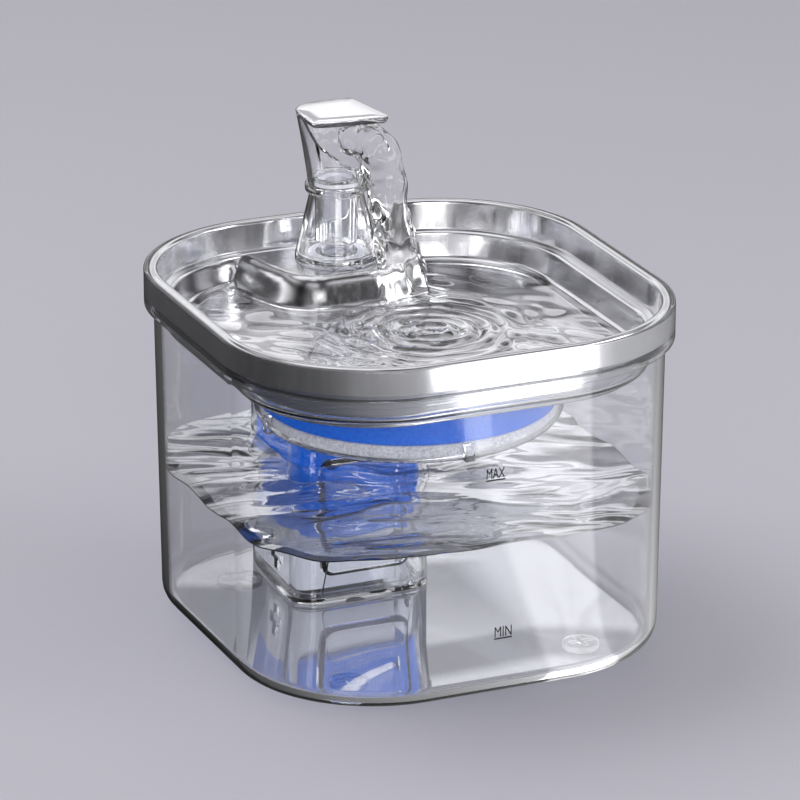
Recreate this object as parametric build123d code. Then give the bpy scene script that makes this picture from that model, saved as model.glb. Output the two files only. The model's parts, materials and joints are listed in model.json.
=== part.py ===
from build123d import *
import os
from math import cos, radians, sin

# Pet water fountain. Millimetres, +Z up, origin on the floor under the middle of the tank.
# The drinking side faces -Y and the spout stands at the back.

# --- tank ---
rim_width = 174.0  # over the collar, side to side
rim_depth = 184.0  # over the collar, front to back
rim_radius = 59.0  # plan corners of the collar
rim_height = 134.0
collar_height = 14.1
collar_step = 3.5  # the collar stands this far outside the wall below it
collar_wall = 1.8
ledge_thickness = 1.5
tank_draft = 1.7  # the wall leans in this far from the collar to the floor
tank_wall = 2.2
tank_floor = 2.8
tank_edge_radius = 7.5
shoulder_radius = 1.2
rim_edge_radius = 0.6
cable_slot_x = 12.0  # where the pump's lead leaves, behind the spout
cable_slot_width = 8.0
cable_slot_height = 5.2  # straight under the steel ledge

# --- feet ---
foot_stand = 2.4  # the feet hold the tank this far off the surface
foot_inset_x = 40.5  # from the collar's outside to each foot's middle
foot_inset_y = 38.0
foot_radius = 7.0
foot_key_length = 9.6  # the cross that locks each foot in the tank's floor
foot_key_width = 2.2
foot_key_height = 1.4
foot_key_fit = 0.05
foot_edge_radius = 0.6

# --- steel drinking tray ---
sheet = 0.6
tray_fit = 0.3  # between the skirt and the collar
tray_skirt = 9.3
tray_rim_width = 2.6
tray_rim_radius = 1.0
tray_wall_draft = 1.5
tray_ledge_width = 4.3
tray_step = 3.0  # second step below the ledge
tray_step_draft = 0.5
tray_pool_drop = 6.0  # from the step down to the bowl's bend
tray_pool_draft = 1.2
tray_bend = 4.5  # the bend between the bowl's wall and its floor
tray_floor_drop = 3.2
seat_lead = 22.5  # the seat's front edge stands this far ahead of the spout's axis
seat_front_half = 23.0
seat_back_half = 35.0
seat_corner_radius = 15.0
seat_slope = 32.0  # degrees that the seat's walls lean out
seat_edge_radius = 3.0
drain_hole_radius = 3.6
drain_ring_radius = 14.0
drain_hole_count = 6
seal_gap = 0.3

# --- clear filter tray under the steel tray ---
flange_fit = 0.4
flange_thickness = 1.0
dish_gap = 0.5  # between the dish and the steel bowl that it follows
dish_wall = 1.5
cup_clear = 1.0  # between the cup and the collar round the riser
cup_wall = 1.5
cup_depth = 27.3  # from the dish's floor to the cup's underside
cup_edge_radius = 7.0
cup_slot_count = 12
cup_slot_length = 16.0
cup_slot_width = 3.0
cup_slot_radius = 34.0
cup_rib_width = 3.6
cup_rib_depth = 2.6
cup_rib_height = 5.6
cup_rib_count = 4
chimney_wall = 1.5
chimney_height = 2.8
riser_pass_gap = 0.5

# --- filter cartridge ---
cartridge_gap = 1.5
cotton_height = 6.3
cotton_edge_radius = 5.2
cotton_skin = 1.6
cotton_side = 9.0
foam_height = 10.4
cover_height = 1.2
notch_gap = 0.35

# --- pump box ---
box_radius = 10.0
box_head_gap = 5.0  # between the box and the filter cup above it
box_rear_gap = 8.6  # between the box and the foot of the tank's rear wall
box_wall = 1.8
box_base_thickness = 2.0
box_base_upstand = 1.6
box_base_fit = 0.15
hatch_width = 33.0
hatch_bottom = 17.0
hatch_drop = 17.0  # from the box's top to the hatch's
hatch_corner_radius = 3.0
hatch_fit = 0.15
hatch_lip = 1.4
tab_bottom_width = 38.0
tab_top_width = 30.0
tab_low = 7.6
tab_high = 26.9
tab_thickness = 1.3
tab_radius = 2.2
hatch_slot_count = 5
hatch_slot_height = 2.6
hatch_slot_pitch = 5.6
side_port_lead = 23.5  # behind the box's front
side_port_z = 17.8
side_port_length = 11.0
side_port_bar = 3.6
gland_offset = -6.0  # to the left of the box's middle
gland_drop = 17.0
gland_radius = 4.2
gland_neck_radius = 3.0
gland_bore_radius = 1.8
gland_flange = 1.4

# --- pump ---
pump_length_x = 40.0
pump_depth_y = 50.0
pump_height = 23.0
pump_edge_radius = 3.0
pump_foot_height = 2.0
pump_foot_radius = 4.0
pump_foot_inset = 7.0
pump_side_room = 1.8  # between the pump and the box's walls
pump_rear_room = 1.6
pump_front_room = 5.3
pump_inlet_room = 8.6
chamber_cover = 1.5  # of the housing behind the impeller chamber
sponge_lip_drop = 5.3  # the sponge hangs this far down in front of the pump
sponge_fit = 0.3
chamber_radius = 11.5
chamber_length = 10.2
faceplate_thickness = 3.0
inlet_radius = 7.0
spider_hub_radius = 3.8
spider_arm = 1.8
spider_arm_count = 3
outlet_bore_radius = 3.6
outlet_radius = 4.8
outlet_height = 9.0
shaft_radius = 1.0
running_fit = 0.05
magnet_radius = 6.6
magnet_length = 22.0
well_gap = 0.6
well_end_gap = 0.4
bush_radius = 2.6
bush_length = 3.0
bush_grip = 2.0  # how far the shaft runs into each bush
impeller_radius = 9.8
impeller_disc = 1.0
impeller_length = 7.6
impeller_hub_radius = 3.0
blade_count = 6
blade_thickness = 1.2
core_thickness_x = 14.0
core_leg = 2.2
core_leg_gap = 0.4
core_yoke = 5.0
core_front_gap = 4.0
core_reach = 8.0
coil_wrap = 3.4

# --- riser ---
riser_x = 0.0
riser_radius = 6.5
riser_fit = 0.1
riser_rise = 2.0  # above the skirt's top, inside the neck
riser_seal_height = 1.2

# --- spout ---
skirt_foot_radius = 15.5
skirt_top_radius = 10.0
skirt_wall = 1.6
skirt_bead = 0.4
skirt_bead_height = 2.0
skirt_rise = 15.4  # from the tank's rim to the skirt's top
guide_wall = 1.5
guide_drop = 20.0  # how far the guide tube hangs inside the skirt
neck_height = 6.0
spigot_depth = 3.0
spout_seal_height = 0.8
spout_seal_width = 3.0
swivel_seal_depth = 0.6
swivel_seal_width = 1.4
swivel_fit = 0.1
socket_clearance = 0.6  # above the neck inside the head
head_bead_radius = 11.9
head_bead_height = 3.2
head_neck_radius = 10.8
head_height = 31.3
head_wall = 1.8
lid_front = 23.3  # the kite-shaped lid's four corners, from the neck's axis
lid_back = 20.0
lid_side = 18.5
lid_side_back = 1.2
lid_front_radius = 3.0
lid_back_radius = 10.0
lid_side_radius = 3.0
lid_thickness = 2.4
lid_edge_radius = 0.9
mouth_back = 9.5  # the mouth's cut starts this far behind the neck's axis
mouth_lip_rise = 7.6  # from the skirt's top to the mouth's lip
mouth_lip_reach = 12.0
mouth_yaw = 45.0  # degrees that the head is turned at rest from straight ahead
ahead = -90.0  # heading of straight ahead, in degrees from +X
stop_half_angle = 60.0  # the head turns this far each way from straight ahead
lug_angle = 12.0
lug_margin = 1.0
lug_height = 1.3
lug_gap = 0.2
lug_inset = 0.5

# --- levels and places that follow ---
shoulder_height = rim_height - collar_height
ledge_height = shoulder_height + ledge_thickness
tank_inner_floor = foot_stand + tank_floor
tank_inner_inset = collar_step + tank_wall
flange_top = ledge_height + flange_thickness
tray_ledge_height = flange_top + sheet
tray_outer_inset = collar_wall + tray_fit
tray_wall_inset = tray_outer_inset + tray_rim_width
tray_ledge_inset = tray_wall_inset + tray_wall_draft
seat_height = tray_ledge_height  # the spout's seat runs level with the ledge
tray_step_inset = tray_ledge_inset + tray_ledge_width
tray_step_height = tray_ledge_height - tray_step
tray_pool_inset = tray_step_inset + tray_step_draft + tray_pool_draft
tray_pool_height = tray_step_height - tray_pool_drop
tray_floor_height = tray_pool_height - tray_floor_drop
step_low_inset = tray_step_inset + tray_step_draft
dish_shift = sheet + dish_gap
dish_inner_floor = tray_floor_height - dish_shift
cup_bottom_height = dish_inner_floor - cup_depth
cup_inner_floor = cup_bottom_height + cup_wall
box_top = cup_bottom_height - box_head_gap
hatch_top = box_top - hatch_drop
gland_z = box_top - gland_drop
box_floor = tank_inner_floor
box_base_top = box_floor + box_base_thickness
pump_bottom = box_base_top + pump_foot_height
pump_top = pump_bottom + pump_height
axis_z = pump_bottom + pump_height / 2
box_rear_y = rim_depth / 2 - tank_inner_inset - tank_draft - box_rear_gap
pump_rear_y = box_rear_y - box_wall - pump_rear_room
pump_near_y = pump_rear_y - pump_depth_y
axis_y = pump_rear_y - chamber_cover - chamber_radius
riser_y = axis_y + chamber_radius - outlet_bore_radius  # the chamber throws its water up the riser
chamber_front = riser_x + chamber_length / 2
chamber_back = riser_x - chamber_length / 2
pump_front_x = chamber_front
pump_back_x = pump_front_x - pump_length_x
magnet_start = chamber_back - magnet_length
well_start = magnet_start - well_end_gap
box_front_y = pump_near_y - pump_front_room - box_wall
box_left_x = pump_back_x - pump_side_room - box_wall
box_right_x = pump_front_x + faceplate_thickness + pump_inlet_room + box_wall
box_width = box_right_x - box_left_x
box_depth = box_rear_y - box_front_y
box_x = (box_left_x + box_right_x) / 2
box_y = (box_front_y + box_rear_y) / 2
seat_front_y = riser_y - seat_lead
foot_x = rim_width / 2 - foot_inset_x
foot_y = rim_depth / 2 - foot_inset_y
cup_radius = riser_y - riser_radius - riser_pass_gap - chimney_wall - cup_clear
cartridge_radius = cup_radius - cup_wall - cartridge_gap
riser_bore_radius = outlet_radius + riser_fit
guide_radius = riser_radius + riser_fit
neck_radius = guide_radius + guide_wall
skirt_top = rim_height + skirt_rise
riser_top = skirt_top + riser_rise
neck_top = skirt_top + neck_height
head_top = skirt_top + head_height
mouth_lip_height = skirt_top + mouth_lip_rise
spigot_radius = neck_radius


def outline(inset, height):
    """The fountain's rounded-square plan, drawn in by inset all round."""
    plan = RectangleRounded(rim_width - 2 * inset, rim_depth - 2 * inset, rim_radius - inset)
    return Pos(0, 0, height) * plan


def taper_block(low_inset, low, high_inset, high):
    """A rounded-square block whose inset changes evenly between two heights."""
    return loft([outline(low_inset, low), outline(high_inset, high)], ruled=True)


def disc(x, y, radius, low, high):
    """An upright cylinder between two heights."""
    return Pos(x, y, (low + high) / 2) * Cylinder(radius, high - low)


def rod(radius, start, end):
    """A cylinder on the pump's axis, along X between two places."""
    return Pos((start + end) / 2, axis_y, axis_z) * (Rot(0, 90, 0) * Cylinder(radius, end - start))


def block(x_low, x_high, y_low, y_high, z_low, z_high):
    """A plain block between six planes."""
    middle = Pos((x_low + x_high) / 2, (y_low + y_high) / 2, (z_low + z_high) / 2)
    return middle * Box(x_high - x_low, y_high - y_low, z_high - z_low)


def lowest_edges(solid):
    return solid.faces().sort_by(Axis.Z)[0].edges()


def highest_edges(solid):
    return solid.faces().sort_by(Axis.Z)[-1].edges()


def cable_slot(y_low, y_high, z_low, z_high):
    """Room for the pump's lead, at the back and hidden by the spout."""
    half = cable_slot_width / 2
    return block(cable_slot_x - half, cable_slot_x + half, y_low, y_high, z_low, z_high)


# --- tank and feet ---
def foot_places():
    return [
        ("foot_front_left", -foot_x, -foot_y),
        ("foot_front_right", foot_x, -foot_y),
        ("foot_rear_left", -foot_x, foot_y),
        ("foot_rear_right", foot_x, foot_y),
    ]


def foot_key(x, y, grow):
    """The cross on a foot, grown by the fit where it cuts its socket."""
    length = foot_key_length + 2 * grow
    width = foot_key_width + 2 * grow
    height = foot_key_height + grow
    middle = Pos(x, y, foot_stand + height / 2)
    return middle * (Box(length, width, height) + Box(width, length, height))


def make_foot(x, y):
    pad = disc(x, y, foot_radius, 0, foot_stand)
    pad = fillet(lowest_edges(pad), foot_edge_radius)
    return pad + foot_key(x, y, 0)


def make_tank():
    body = taper_block(collar_step + tank_draft, foot_stand, collar_step, ledge_height)
    body = fillet(lowest_edges(body), tank_edge_radius)
    collar = extrude(outline(0, shoulder_height), collar_height)
    collar = fillet(lowest_edges(collar), shoulder_radius)
    collar = fillet(highest_edges(collar), rim_edge_radius)
    cavity = taper_block(
        tank_inner_inset + tank_draft, tank_inner_floor, tank_inner_inset, ledge_height
    )
    cavity = fillet(lowest_edges(cavity), tank_edge_radius - tank_wall)
    pocket = extrude(outline(collar_wall, ledge_height), collar_height)
    tank = body + collar - cavity - pocket
    for name, x, y in foot_places():
        tank -= foot_key(x, y, foot_key_fit)
    outside = rim_depth / 2
    slot_near = outside - tank_inner_inset - tank_wall
    slot_low = flange_top - cable_slot_height
    return tank - cable_slot(slot_near, outside + collar_wall, slot_low, flange_top)


# --- steel drinking tray ---
def seat_plan(inset):
    """Plan of the raised seat: narrow at its front, running back under the ledge."""
    back = rim_depth / 2 - tray_ledge_inset
    front = seat_front_y + inset
    plan = make_face(
        Polyline(
            (-seat_back_half + inset, back),
            (-seat_front_half + inset, front),
            (seat_front_half - inset, front),
            (seat_back_half - inset, back),
            close=True,
        )
    )
    corners = plan.vertices().sort_by(Axis.Y)[0:2]
    return fillet(corners, seat_corner_radius - inset)


def seat_block(inset, top):
    """The seat's solid, widening downwards past the bowl's floor."""
    depth = top - tray_floor_height + 3 * sheet
    return extrude(Pos(0, 0, top) * seat_plan(inset), -depth, taper=-seat_slope)


def pool_block(shift, drop):
    """The pool below the step, moved out by shift and down by drop, with a two-facet bend."""
    half_bend = radians(45)
    floor_inset = tray_pool_inset + tray_bend
    mid_inset = tray_pool_inset + tray_bend * (1 - cos(half_bend))
    mid_height = tray_floor_height + tray_floor_drop * (1 - sin(half_bend))
    solid = taper_block(
        tray_pool_inset - shift,
        tray_pool_height - drop,
        step_low_inset - shift,
        tray_step_height - drop,
    )
    solid += taper_block(
        mid_inset - shift, mid_height - drop, tray_pool_inset - shift, tray_pool_height - drop
    )
    solid += taper_block(
        floor_inset - shift, tray_floor_height - drop, mid_inset - shift, mid_height - drop
    )
    return solid


def bowl(shift, drop):
    """The bowl from rim to floor, moved out by shift and down by drop."""
    solid = taper_block(
        tray_ledge_inset - shift, tray_ledge_height - drop, tray_wall_inset - shift, rim_height
    )
    solid += taper_block(
        step_low_inset - shift,
        tray_step_height - drop,
        tray_step_inset - shift,
        tray_ledge_height - drop,
    )
    return solid + pool_block(shift, drop)


def make_drinking_tray():
    skirt_bottom = rim_height - tray_skirt
    rim = extrude(outline(tray_outer_inset, skirt_bottom), tray_skirt)
    rim = fillet(highest_edges(rim), tray_rim_radius)
    rim -= extrude(outline(tray_outer_inset + sheet, skirt_bottom), tray_skirt - sheet)
    seat = fillet(highest_edges(seat_block(0, seat_height)), seat_edge_radius)
    hollow = seat_block(sheet, seat_height - sheet)
    hollow = fillet(highest_edges(hollow), seat_edge_radius - sheet)
    tray = rim + bowl(sheet, sheet)
    tray -= bowl(0, 0) - seat
    tray -= hollow
    tray -= disc(riser_x, riser_y, spigot_radius + seal_gap, tray_floor_height, rim_height)
    low = tray_floor_height - 2 * sheet
    high = tray_floor_height + 2 * sheet
    tray -= disc(0, 0, drain_hole_radius, low, high)
    for place in PolarLocations(drain_ring_radius, drain_hole_count):
        tray -= place * disc(0, 0, drain_hole_radius, low, high)
    return tray


# --- clear filter tray and its cartridge ---
def dish_block(shift):
    """The steel bowl's outside below the flange, grown by shift."""
    neck = taper_block(
        step_low_inset - shift, tray_step_height - shift, tray_step_inset - shift, flange_top
    )
    return neck + pool_block(shift, shift)


def make_filter_tray():
    dish_floor_height = dish_inner_floor - dish_wall
    flange = extrude(outline(collar_wall + flange_fit, ledge_height), flange_thickness)
    dish = dish_block(dish_shift + dish_wall)
    inside = dish_block(dish_shift)
    cup = disc(0, 0, cup_radius, cup_bottom_height, dish_inner_floor)
    cup = fillet(lowest_edges(cup), cup_edge_radius)
    cup_inside = disc(0, 0, cup_radius - cup_wall, cup_inner_floor, dish_inner_floor)
    cup_inside = fillet(lowest_edges(cup_inside), cup_edge_radius - cup_wall)
    tray = flange + dish + cup - inside - cup_inside
    for place in PolarLocations(0, cup_rib_count):
        tray += place * cup_rib(0)
    for place in PolarLocations(0, cup_slot_count):
        tray -= place * cup_slot()
    chimney_radius = riser_radius + riser_pass_gap
    chimney_top = dish_inner_floor + chimney_height
    tray += disc(riser_x, riser_y, chimney_radius + chimney_wall, dish_floor_height, chimney_top)
    tray -= disc(riser_x, riser_y, chimney_radius, cup_bottom_height, rim_height)
    slot_near = rim_depth / 2 - tray_pool_inset
    return tray - cable_slot(slot_near, rim_depth / 2, tray_pool_height, flange_top)


def cup_rib(grow):
    """A rib on the cup's wall that keys the cartridge, or with grow the notch for it."""
    reach = cup_radius - cup_wall / 2
    depth = cup_rib_depth + grow + cup_wall / 2
    half = cup_rib_width / 2 + grow
    low = cup_inner_floor
    return block(reach - depth, reach, -half, half, low, low + cup_rib_height + grow)


def cup_slot():
    """One of the slots that let the filtered water drip into the tank."""
    half = cup_slot_width / 2
    start = cup_slot_radius - cup_slot_length / 2
    end = cup_slot_radius + cup_slot_length / 2
    low = cup_bottom_height - cup_wall
    return block(start, end, -half, half, low, cup_inner_floor)


def make_filter_cotton():
    pad = disc(0, 0, cartridge_radius, cup_inner_floor, cup_inner_floor + cotton_height)
    pad = fillet(lowest_edges(pad), cotton_edge_radius)
    for place in PolarLocations(0, cup_rib_count):
        pad -= place * cup_rib(notch_gap)
    return pad - make_filter_granules()


def make_filter_granules():
    low = cup_inner_floor + cotton_skin
    high = cup_inner_floor + cotton_height - cotton_skin
    return disc(0, 0, cartridge_radius - cotton_side, low, high)


def make_filter_foam():
    low = cup_inner_floor + cotton_height
    return disc(0, 0, cartridge_radius, low, low + foam_height)


def make_filter_cover():
    low = cup_inner_floor + cotton_height + foam_height
    cover = disc(0, 0, cartridge_radius, low, low + cover_height)
    return fillet(highest_edges(cover), cover_height / 2)


# --- pump box ---
def box_plan(inset, height):
    plan = RectangleRounded(box_width - 2 * inset, box_depth - 2 * inset, box_radius - inset)
    return Pos(box_x, box_y, height) * plan


def make_pump_box():
    shell = extrude(box_plan(0, box_base_top), box_top - box_base_top)
    shell = fillet(highest_edges(shell), box_wall)
    shell -= extrude(box_plan(box_wall, box_base_top), box_top - box_wall - box_base_top)
    shell -= hatch_plate(0, box_front_y - box_wall, box_front_y + 2 * box_wall)
    for side in (-1, 1):
        shell -= side_port(side)
    shell -= disc(riser_x, riser_y, riser_radius + riser_pass_gap, box_top - 3 * box_wall, box_top)
    shell -= gland_rod(gland_neck_radius, 0, box_wall)
    return shell


def side_port(side):
    """A plus-shaped intake port through one side wall."""
    x = box_x + side * box_width / 2
    y = box_front_y + side_port_lead
    bars = Box(3 * box_wall, side_port_length, side_port_bar)
    bars += Box(3 * box_wall, side_port_bar, side_port_length)
    return Pos(x, y, side_port_z) * bars


def hatch_plate(shrink, near, far):
    """The front hatch's plate between two Y planes."""
    width = hatch_width - 2 * shrink
    height = hatch_top - hatch_bottom - 2 * shrink
    plan = RectangleRounded(width, height, hatch_corner_radius - shrink)
    middle = Pos(box_x, far, (hatch_bottom + hatch_top) / 2) * Rot(90, 0, 0)
    return extrude(middle * plan, far - near)


def make_intake_hatch():
    front = box_front_y
    hatch = hatch_plate(hatch_fit, front, front + box_wall)
    hatch += hatch_plate(-hatch_lip, front + box_wall, front + 2 * box_wall)
    hatch += finger_tab()
    first = hatch_top - hatch_slot_pitch
    for number in range(hatch_slot_count):
        z = first - number * hatch_slot_pitch
        half = hatch_width / 2 - 2 * hatch_lip
        hatch -= block(
            box_x - half,
            box_x + half,
            front - box_wall,
            front + 3 * box_wall,
            z - hatch_slot_height,
            z,
        )
    return hatch


def finger_tab():
    """The tapered tab at the hatch's foot that a finger lifts it by."""
    low = tab_bottom_width / 2
    high = tab_top_width / 2
    plan = make_face(
        Polyline((-low, tab_low), (low, tab_low), (high, tab_high), (-high, tab_high), close=True)
    )
    plan = fillet(plan.vertices(), tab_radius)
    return extrude(Pos(box_x, box_front_y, 0) * (Rot(90, 0, 0) * plan), tab_thickness)


def make_pump_box_base():
    base = extrude(box_plan(0, box_floor), box_base_thickness)
    upstand = extrude(box_plan(box_wall + box_base_fit, box_base_top), box_base_upstand)
    inner = extrude(box_plan(2 * box_wall, box_base_top), box_base_upstand)
    return base + (upstand - inner)


def make_pump_sponge():
    gap = box_wall + box_base_fit
    low = pump_top
    sponge = extrude(box_plan(gap + box_wall, low), box_top - box_wall - low)
    lip = extrude(box_plan(gap + box_wall, low - sponge_lip_drop), sponge_lip_drop)
    sponge += lip - block(-rim_width, rim_width, pump_near_y - sponge_fit, rim_depth, 0, low)
    return sponge - disc(riser_x, riser_y, riser_radius + riser_fit, low, box_top)


def gland_rod(radius, inward, outward):
    """A cylinder across the box's rear wall, on the cable gland's axis."""
    near = box_rear_y - box_wall - inward
    far = box_rear_y - box_wall + outward
    middle = Pos(box_x + gland_offset, (near + far) / 2, gland_z)
    return middle * (Rot(90, 0, 0) * Cylinder(radius, far - near))


def make_cable_gland():
    outward = box_wall + gland_flange
    gland = gland_rod(gland_neck_radius, gland_flange, outward)
    gland += gland_rod(gland_radius, gland_flange, 0)
    gland += gland_rod(gland_radius, -box_wall, outward)
    return gland - gland_rod(gland_bore_radius, gland_flange, outward)


# --- pump ---
def make_stator_core():
    low = pump_bottom + core_leg_gap
    high = pump_top - core_leg_gap
    front = pump_near_y + core_front_gap
    x_low, x_high = core_span()
    frame = block(x_low, x_high, front, axis_y + core_reach, low, high)
    return frame - block(x_low, x_high, front + core_yoke, rim_depth, low + core_leg, high - core_leg)


def core_span():
    middle = chamber_back - magnet_length / 2
    return middle - core_thickness_x / 2, middle + core_thickness_x / 2


def make_stator_coil():
    low = pump_bottom + core_leg_gap + core_leg
    high = pump_top - core_leg_gap - core_leg
    front = pump_near_y + core_front_gap
    x_low, x_high = core_span()
    wrap = coil_wrap
    coil = block(x_low - wrap, x_high + wrap, front - wrap, front + core_yoke + wrap, low, high)
    return coil - make_stator_core()


def make_pump_housing():
    body = block(pump_back_x, pump_front_x, pump_near_y, pump_rear_y, pump_bottom, pump_top)
    body = fillet(body.edges().filter_by(Axis.Z), pump_edge_radius)
    body += disc(riser_x, riser_y, outlet_radius, pump_top, pump_top + outlet_height)
    body -= rod(magnet_radius + well_gap, well_start, chamber_back)
    body -= rod(chamber_radius, chamber_back, chamber_front)
    body -= rod(bush_radius, well_start - bush_length, well_start)
    body -= disc(riser_x, riser_y, outlet_bore_radius, axis_z, pump_top + outlet_height)
    return body - make_stator_core() - make_stator_coil()


def make_pump_faceplate():
    size_y = 2 * (pump_rear_y - axis_y)
    low_x = chamber_front
    high_x = chamber_front + faceplate_thickness
    plate = block(
        low_x, high_x, axis_y - size_y / 2, axis_y + size_y / 2, pump_bottom, pump_top
    )
    plate = fillet(plate.edges().filter_by(Axis.X), pump_edge_radius)
    plate -= rod(inlet_radius, low_x, high_x)
    plate += rod(spider_hub_radius, low_x, high_x)
    for number in range(spider_arm_count):
        angle = 90 + number * 360 / spider_arm_count
        arm = Pos((low_x + high_x) / 2, 0, (inlet_radius + bush_radius) / 2)
        arm = arm * Box(faceplate_thickness, spider_arm, inlet_radius - bush_radius + spider_arm / 2)
        plate += Pos(0, axis_y, axis_z) * (Rot(angle, 0, 0) * arm)
    return plate - rod(bush_radius, low_x, high_x)


def make_front_bush():
    bush = rod(bush_radius, chamber_front, chamber_front + faceplate_thickness)
    return bush - rod(shaft_radius, chamber_front, chamber_front + bush_grip)


def make_rear_bush():
    bush = rod(bush_radius, well_start - bush_length, well_start)
    return bush - rod(shaft_radius, well_start - bush_grip, well_start)


def make_rotor_shaft():
    return rod(shaft_radius, well_start - bush_grip, chamber_front + bush_grip)


def make_rotor_magnet():
    magnet = rod(magnet_radius, magnet_start, chamber_back)
    return magnet - rod(shaft_radius + running_fit, magnet_start, chamber_back)


def make_impeller():
    start = chamber_back
    end = start + impeller_length
    wheel = rod(impeller_hub_radius, start, end) + rod(impeller_radius, start, start + impeller_disc)
    for number in range(blade_count):
        blade = block(
            start, end, -blade_thickness / 2, blade_thickness / 2, 0, impeller_radius
        )
        turn = Rot(number * 360 / blade_count, 0, 0)
        wheel += Pos(0, axis_y, axis_z) * (turn * blade)
    return wheel - rod(shaft_radius + running_fit, start, end)


def make_pump_feet():
    """Four rubber cups under the pump, separate solids in one node."""
    inset = pump_foot_inset
    cups = []
    for x in (pump_back_x + inset, pump_front_x - inset):
        for y in (pump_near_y + inset, pump_rear_y - inset):
            cups.append(disc(x, y, pump_foot_radius, box_base_top, pump_bottom))
    return Compound(children=cups)


# --- riser ---
def make_riser_tube():
    low = pump_top + riser_seal_height
    tube = disc(riser_x, riser_y, riser_radius, low, riser_top)
    return tube - disc(riser_x, riser_y, riser_bore_radius, low, riser_top)


def make_riser_seal():
    ring = disc(riser_x, riser_y, riser_radius, pump_top, pump_top + riser_seal_height)
    return ring - disc(riser_x, riser_y, outlet_radius, pump_top, pump_top + riser_seal_height)


# --- spout ---
def turned(points):
    """A solid of revolution on the riser's axis, from (radius, height) points."""
    profile = make_face(Plane.XZ * Polyline(*points, close=True))
    return Pos(riser_x, riser_y, 0) * revolve(profile, Axis.Z)


def skirt_base_height():
    return seat_height + spout_seal_height


def make_spout_base():
    low = skirt_base_height()
    shoulder = skirt_top - skirt_wall
    foot = skirt_foot_radius
    outer = turned(
        [
            (0, low),
            (foot + skirt_bead, low),
            (foot + skirt_bead, low + skirt_bead_height / 2),
            (foot, low + skirt_bead_height),
            (skirt_top_radius, skirt_top),
            (0, skirt_top),
        ]
    )
    inside = turned(
        [
            (0, low + skirt_wall),
            (foot - skirt_wall, low + skirt_wall),
            (skirt_top_radius - skirt_wall, shoulder),
            (0, shoulder),
        ]
    )
    base = outer - inside
    base += disc(riser_x, riser_y, neck_radius, skirt_top - guide_drop, neck_top)
    base += disc(riser_x, riser_y, spigot_radius, low - spigot_depth, low + skirt_wall)
    base -= disc(riser_x, riser_y, guide_radius, low - spigot_depth, neck_top)
    groove_low = neck_top - 2 * swivel_seal_width
    groove = disc(riser_x, riser_y, neck_radius, groove_low, groove_low + swivel_seal_width)
    groove -= disc(
        riser_x, riser_y, neck_radius - swivel_seal_depth, groove_low, groove_low + swivel_seal_width
    )
    return base - groove + stop_sector(lug_angle / 2, ahead, 0)


def stop_sector(half_angle, heading, grow):
    """The swivel's stop lug on the skirt's shoulder, or with grow the groove it runs in."""
    inner = neck_radius + lug_inset - grow
    outer = skirt_top_radius - lug_inset + grow
    with BuildSketch() as sector:
        with BuildLine():
            PolarLine((0, 0), outer, heading - half_angle)
            CenterArc((0, 0), outer, heading - half_angle, 2 * half_angle)
            PolarLine((0, 0), outer, heading + half_angle)
        make_face()
        Circle(inner, mode=Mode.SUBTRACT)
    return extrude(Pos(riser_x, riser_y, skirt_top) * sector.sketch, lug_height + grow)


def make_spout_seal():
    ring = disc(riser_x, riser_y, spigot_radius + spout_seal_width, seat_height, skirt_base_height())
    return ring - disc(riser_x, riser_y, spigot_radius + seal_gap, seat_height, skirt_base_height())


def make_swivel_seal():
    low = neck_top - 2 * swivel_seal_width
    high = low + swivel_seal_width
    ring = disc(riser_x, riser_y, neck_radius + swivel_fit / 2, low, high)
    return ring - disc(riser_x, riser_y, neck_radius - swivel_seal_depth, low, high)


def lid_plan(inset):
    """The lid's kite, its front corner over the mouth, drawn in by inset."""
    plan = make_face(
        Polyline(
            (lid_front, 0),
            (-lid_side_back, lid_side),
            (-lid_back, 0),
            (-lid_side_back, -lid_side),
            close=True,
        )
    )
    plan = fillet(plan.vertices().sort_by(Axis.X)[0], lid_back_radius)
    plan = fillet(plan.vertices().sort_by(Axis.X)[-1], lid_front_radius)
    sides = plan.vertices().sort_by(Axis.Y)
    plan = fillet([sides[0], sides[-1]], lid_side_radius)
    return offset(plan, -inset) if inset else plan


def head_loft(inset, low, high):
    """The head's flaring body in its own frame, with its mouth towards +X."""
    start = Pos(0, 0, low) * Circle(head_neck_radius - inset)
    end = Pos(0, 0, high) * lid_plan(inset)
    return loft([start, end])


def make_spout_head():
    socket_top = neck_top + socket_clearance
    head = head_loft(0, skirt_top + head_bead_height, head_top)
    head = fillet(highest_edges(head), lid_edge_radius)
    bead = Pos(0, 0, skirt_top + head_bead_height / 2) * Cylinder(head_bead_radius, head_bead_height)
    bead = fillet(bead.edges(), head_bead_height / 4)
    head += bead
    head -= head_loft(head_wall, socket_top, head_top - lid_thickness)
    socket = Pos(0, 0, (skirt_top + socket_top) / 2)
    head -= socket * Cylinder(neck_radius + swivel_fit, socket_top - skirt_top)
    under_lid = head_top - lid_thickness
    slope_end = mouth_lip_reach + lid_front
    fall = (under_lid - mouth_lip_height) / (mouth_back + mouth_lip_reach)
    wedge = make_face(
        Plane.XZ
        * Polyline(
            (-mouth_back, under_lid),
            (slope_end, under_lid),
            (slope_end, under_lid - fall * (slope_end + mouth_back)),
            close=True,
        )
    )
    head -= extrude(wedge, lid_side + lid_back, both=True)
    head = Pos(riser_x, riser_y, 0) * (Rot(0, 0, mouth_yaw + ahead) * head)
    groove_half = stop_half_angle + lug_angle / 2 + lug_margin
    return head - stop_sector(groove_half, mouth_yaw + ahead, lug_gap)


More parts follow.
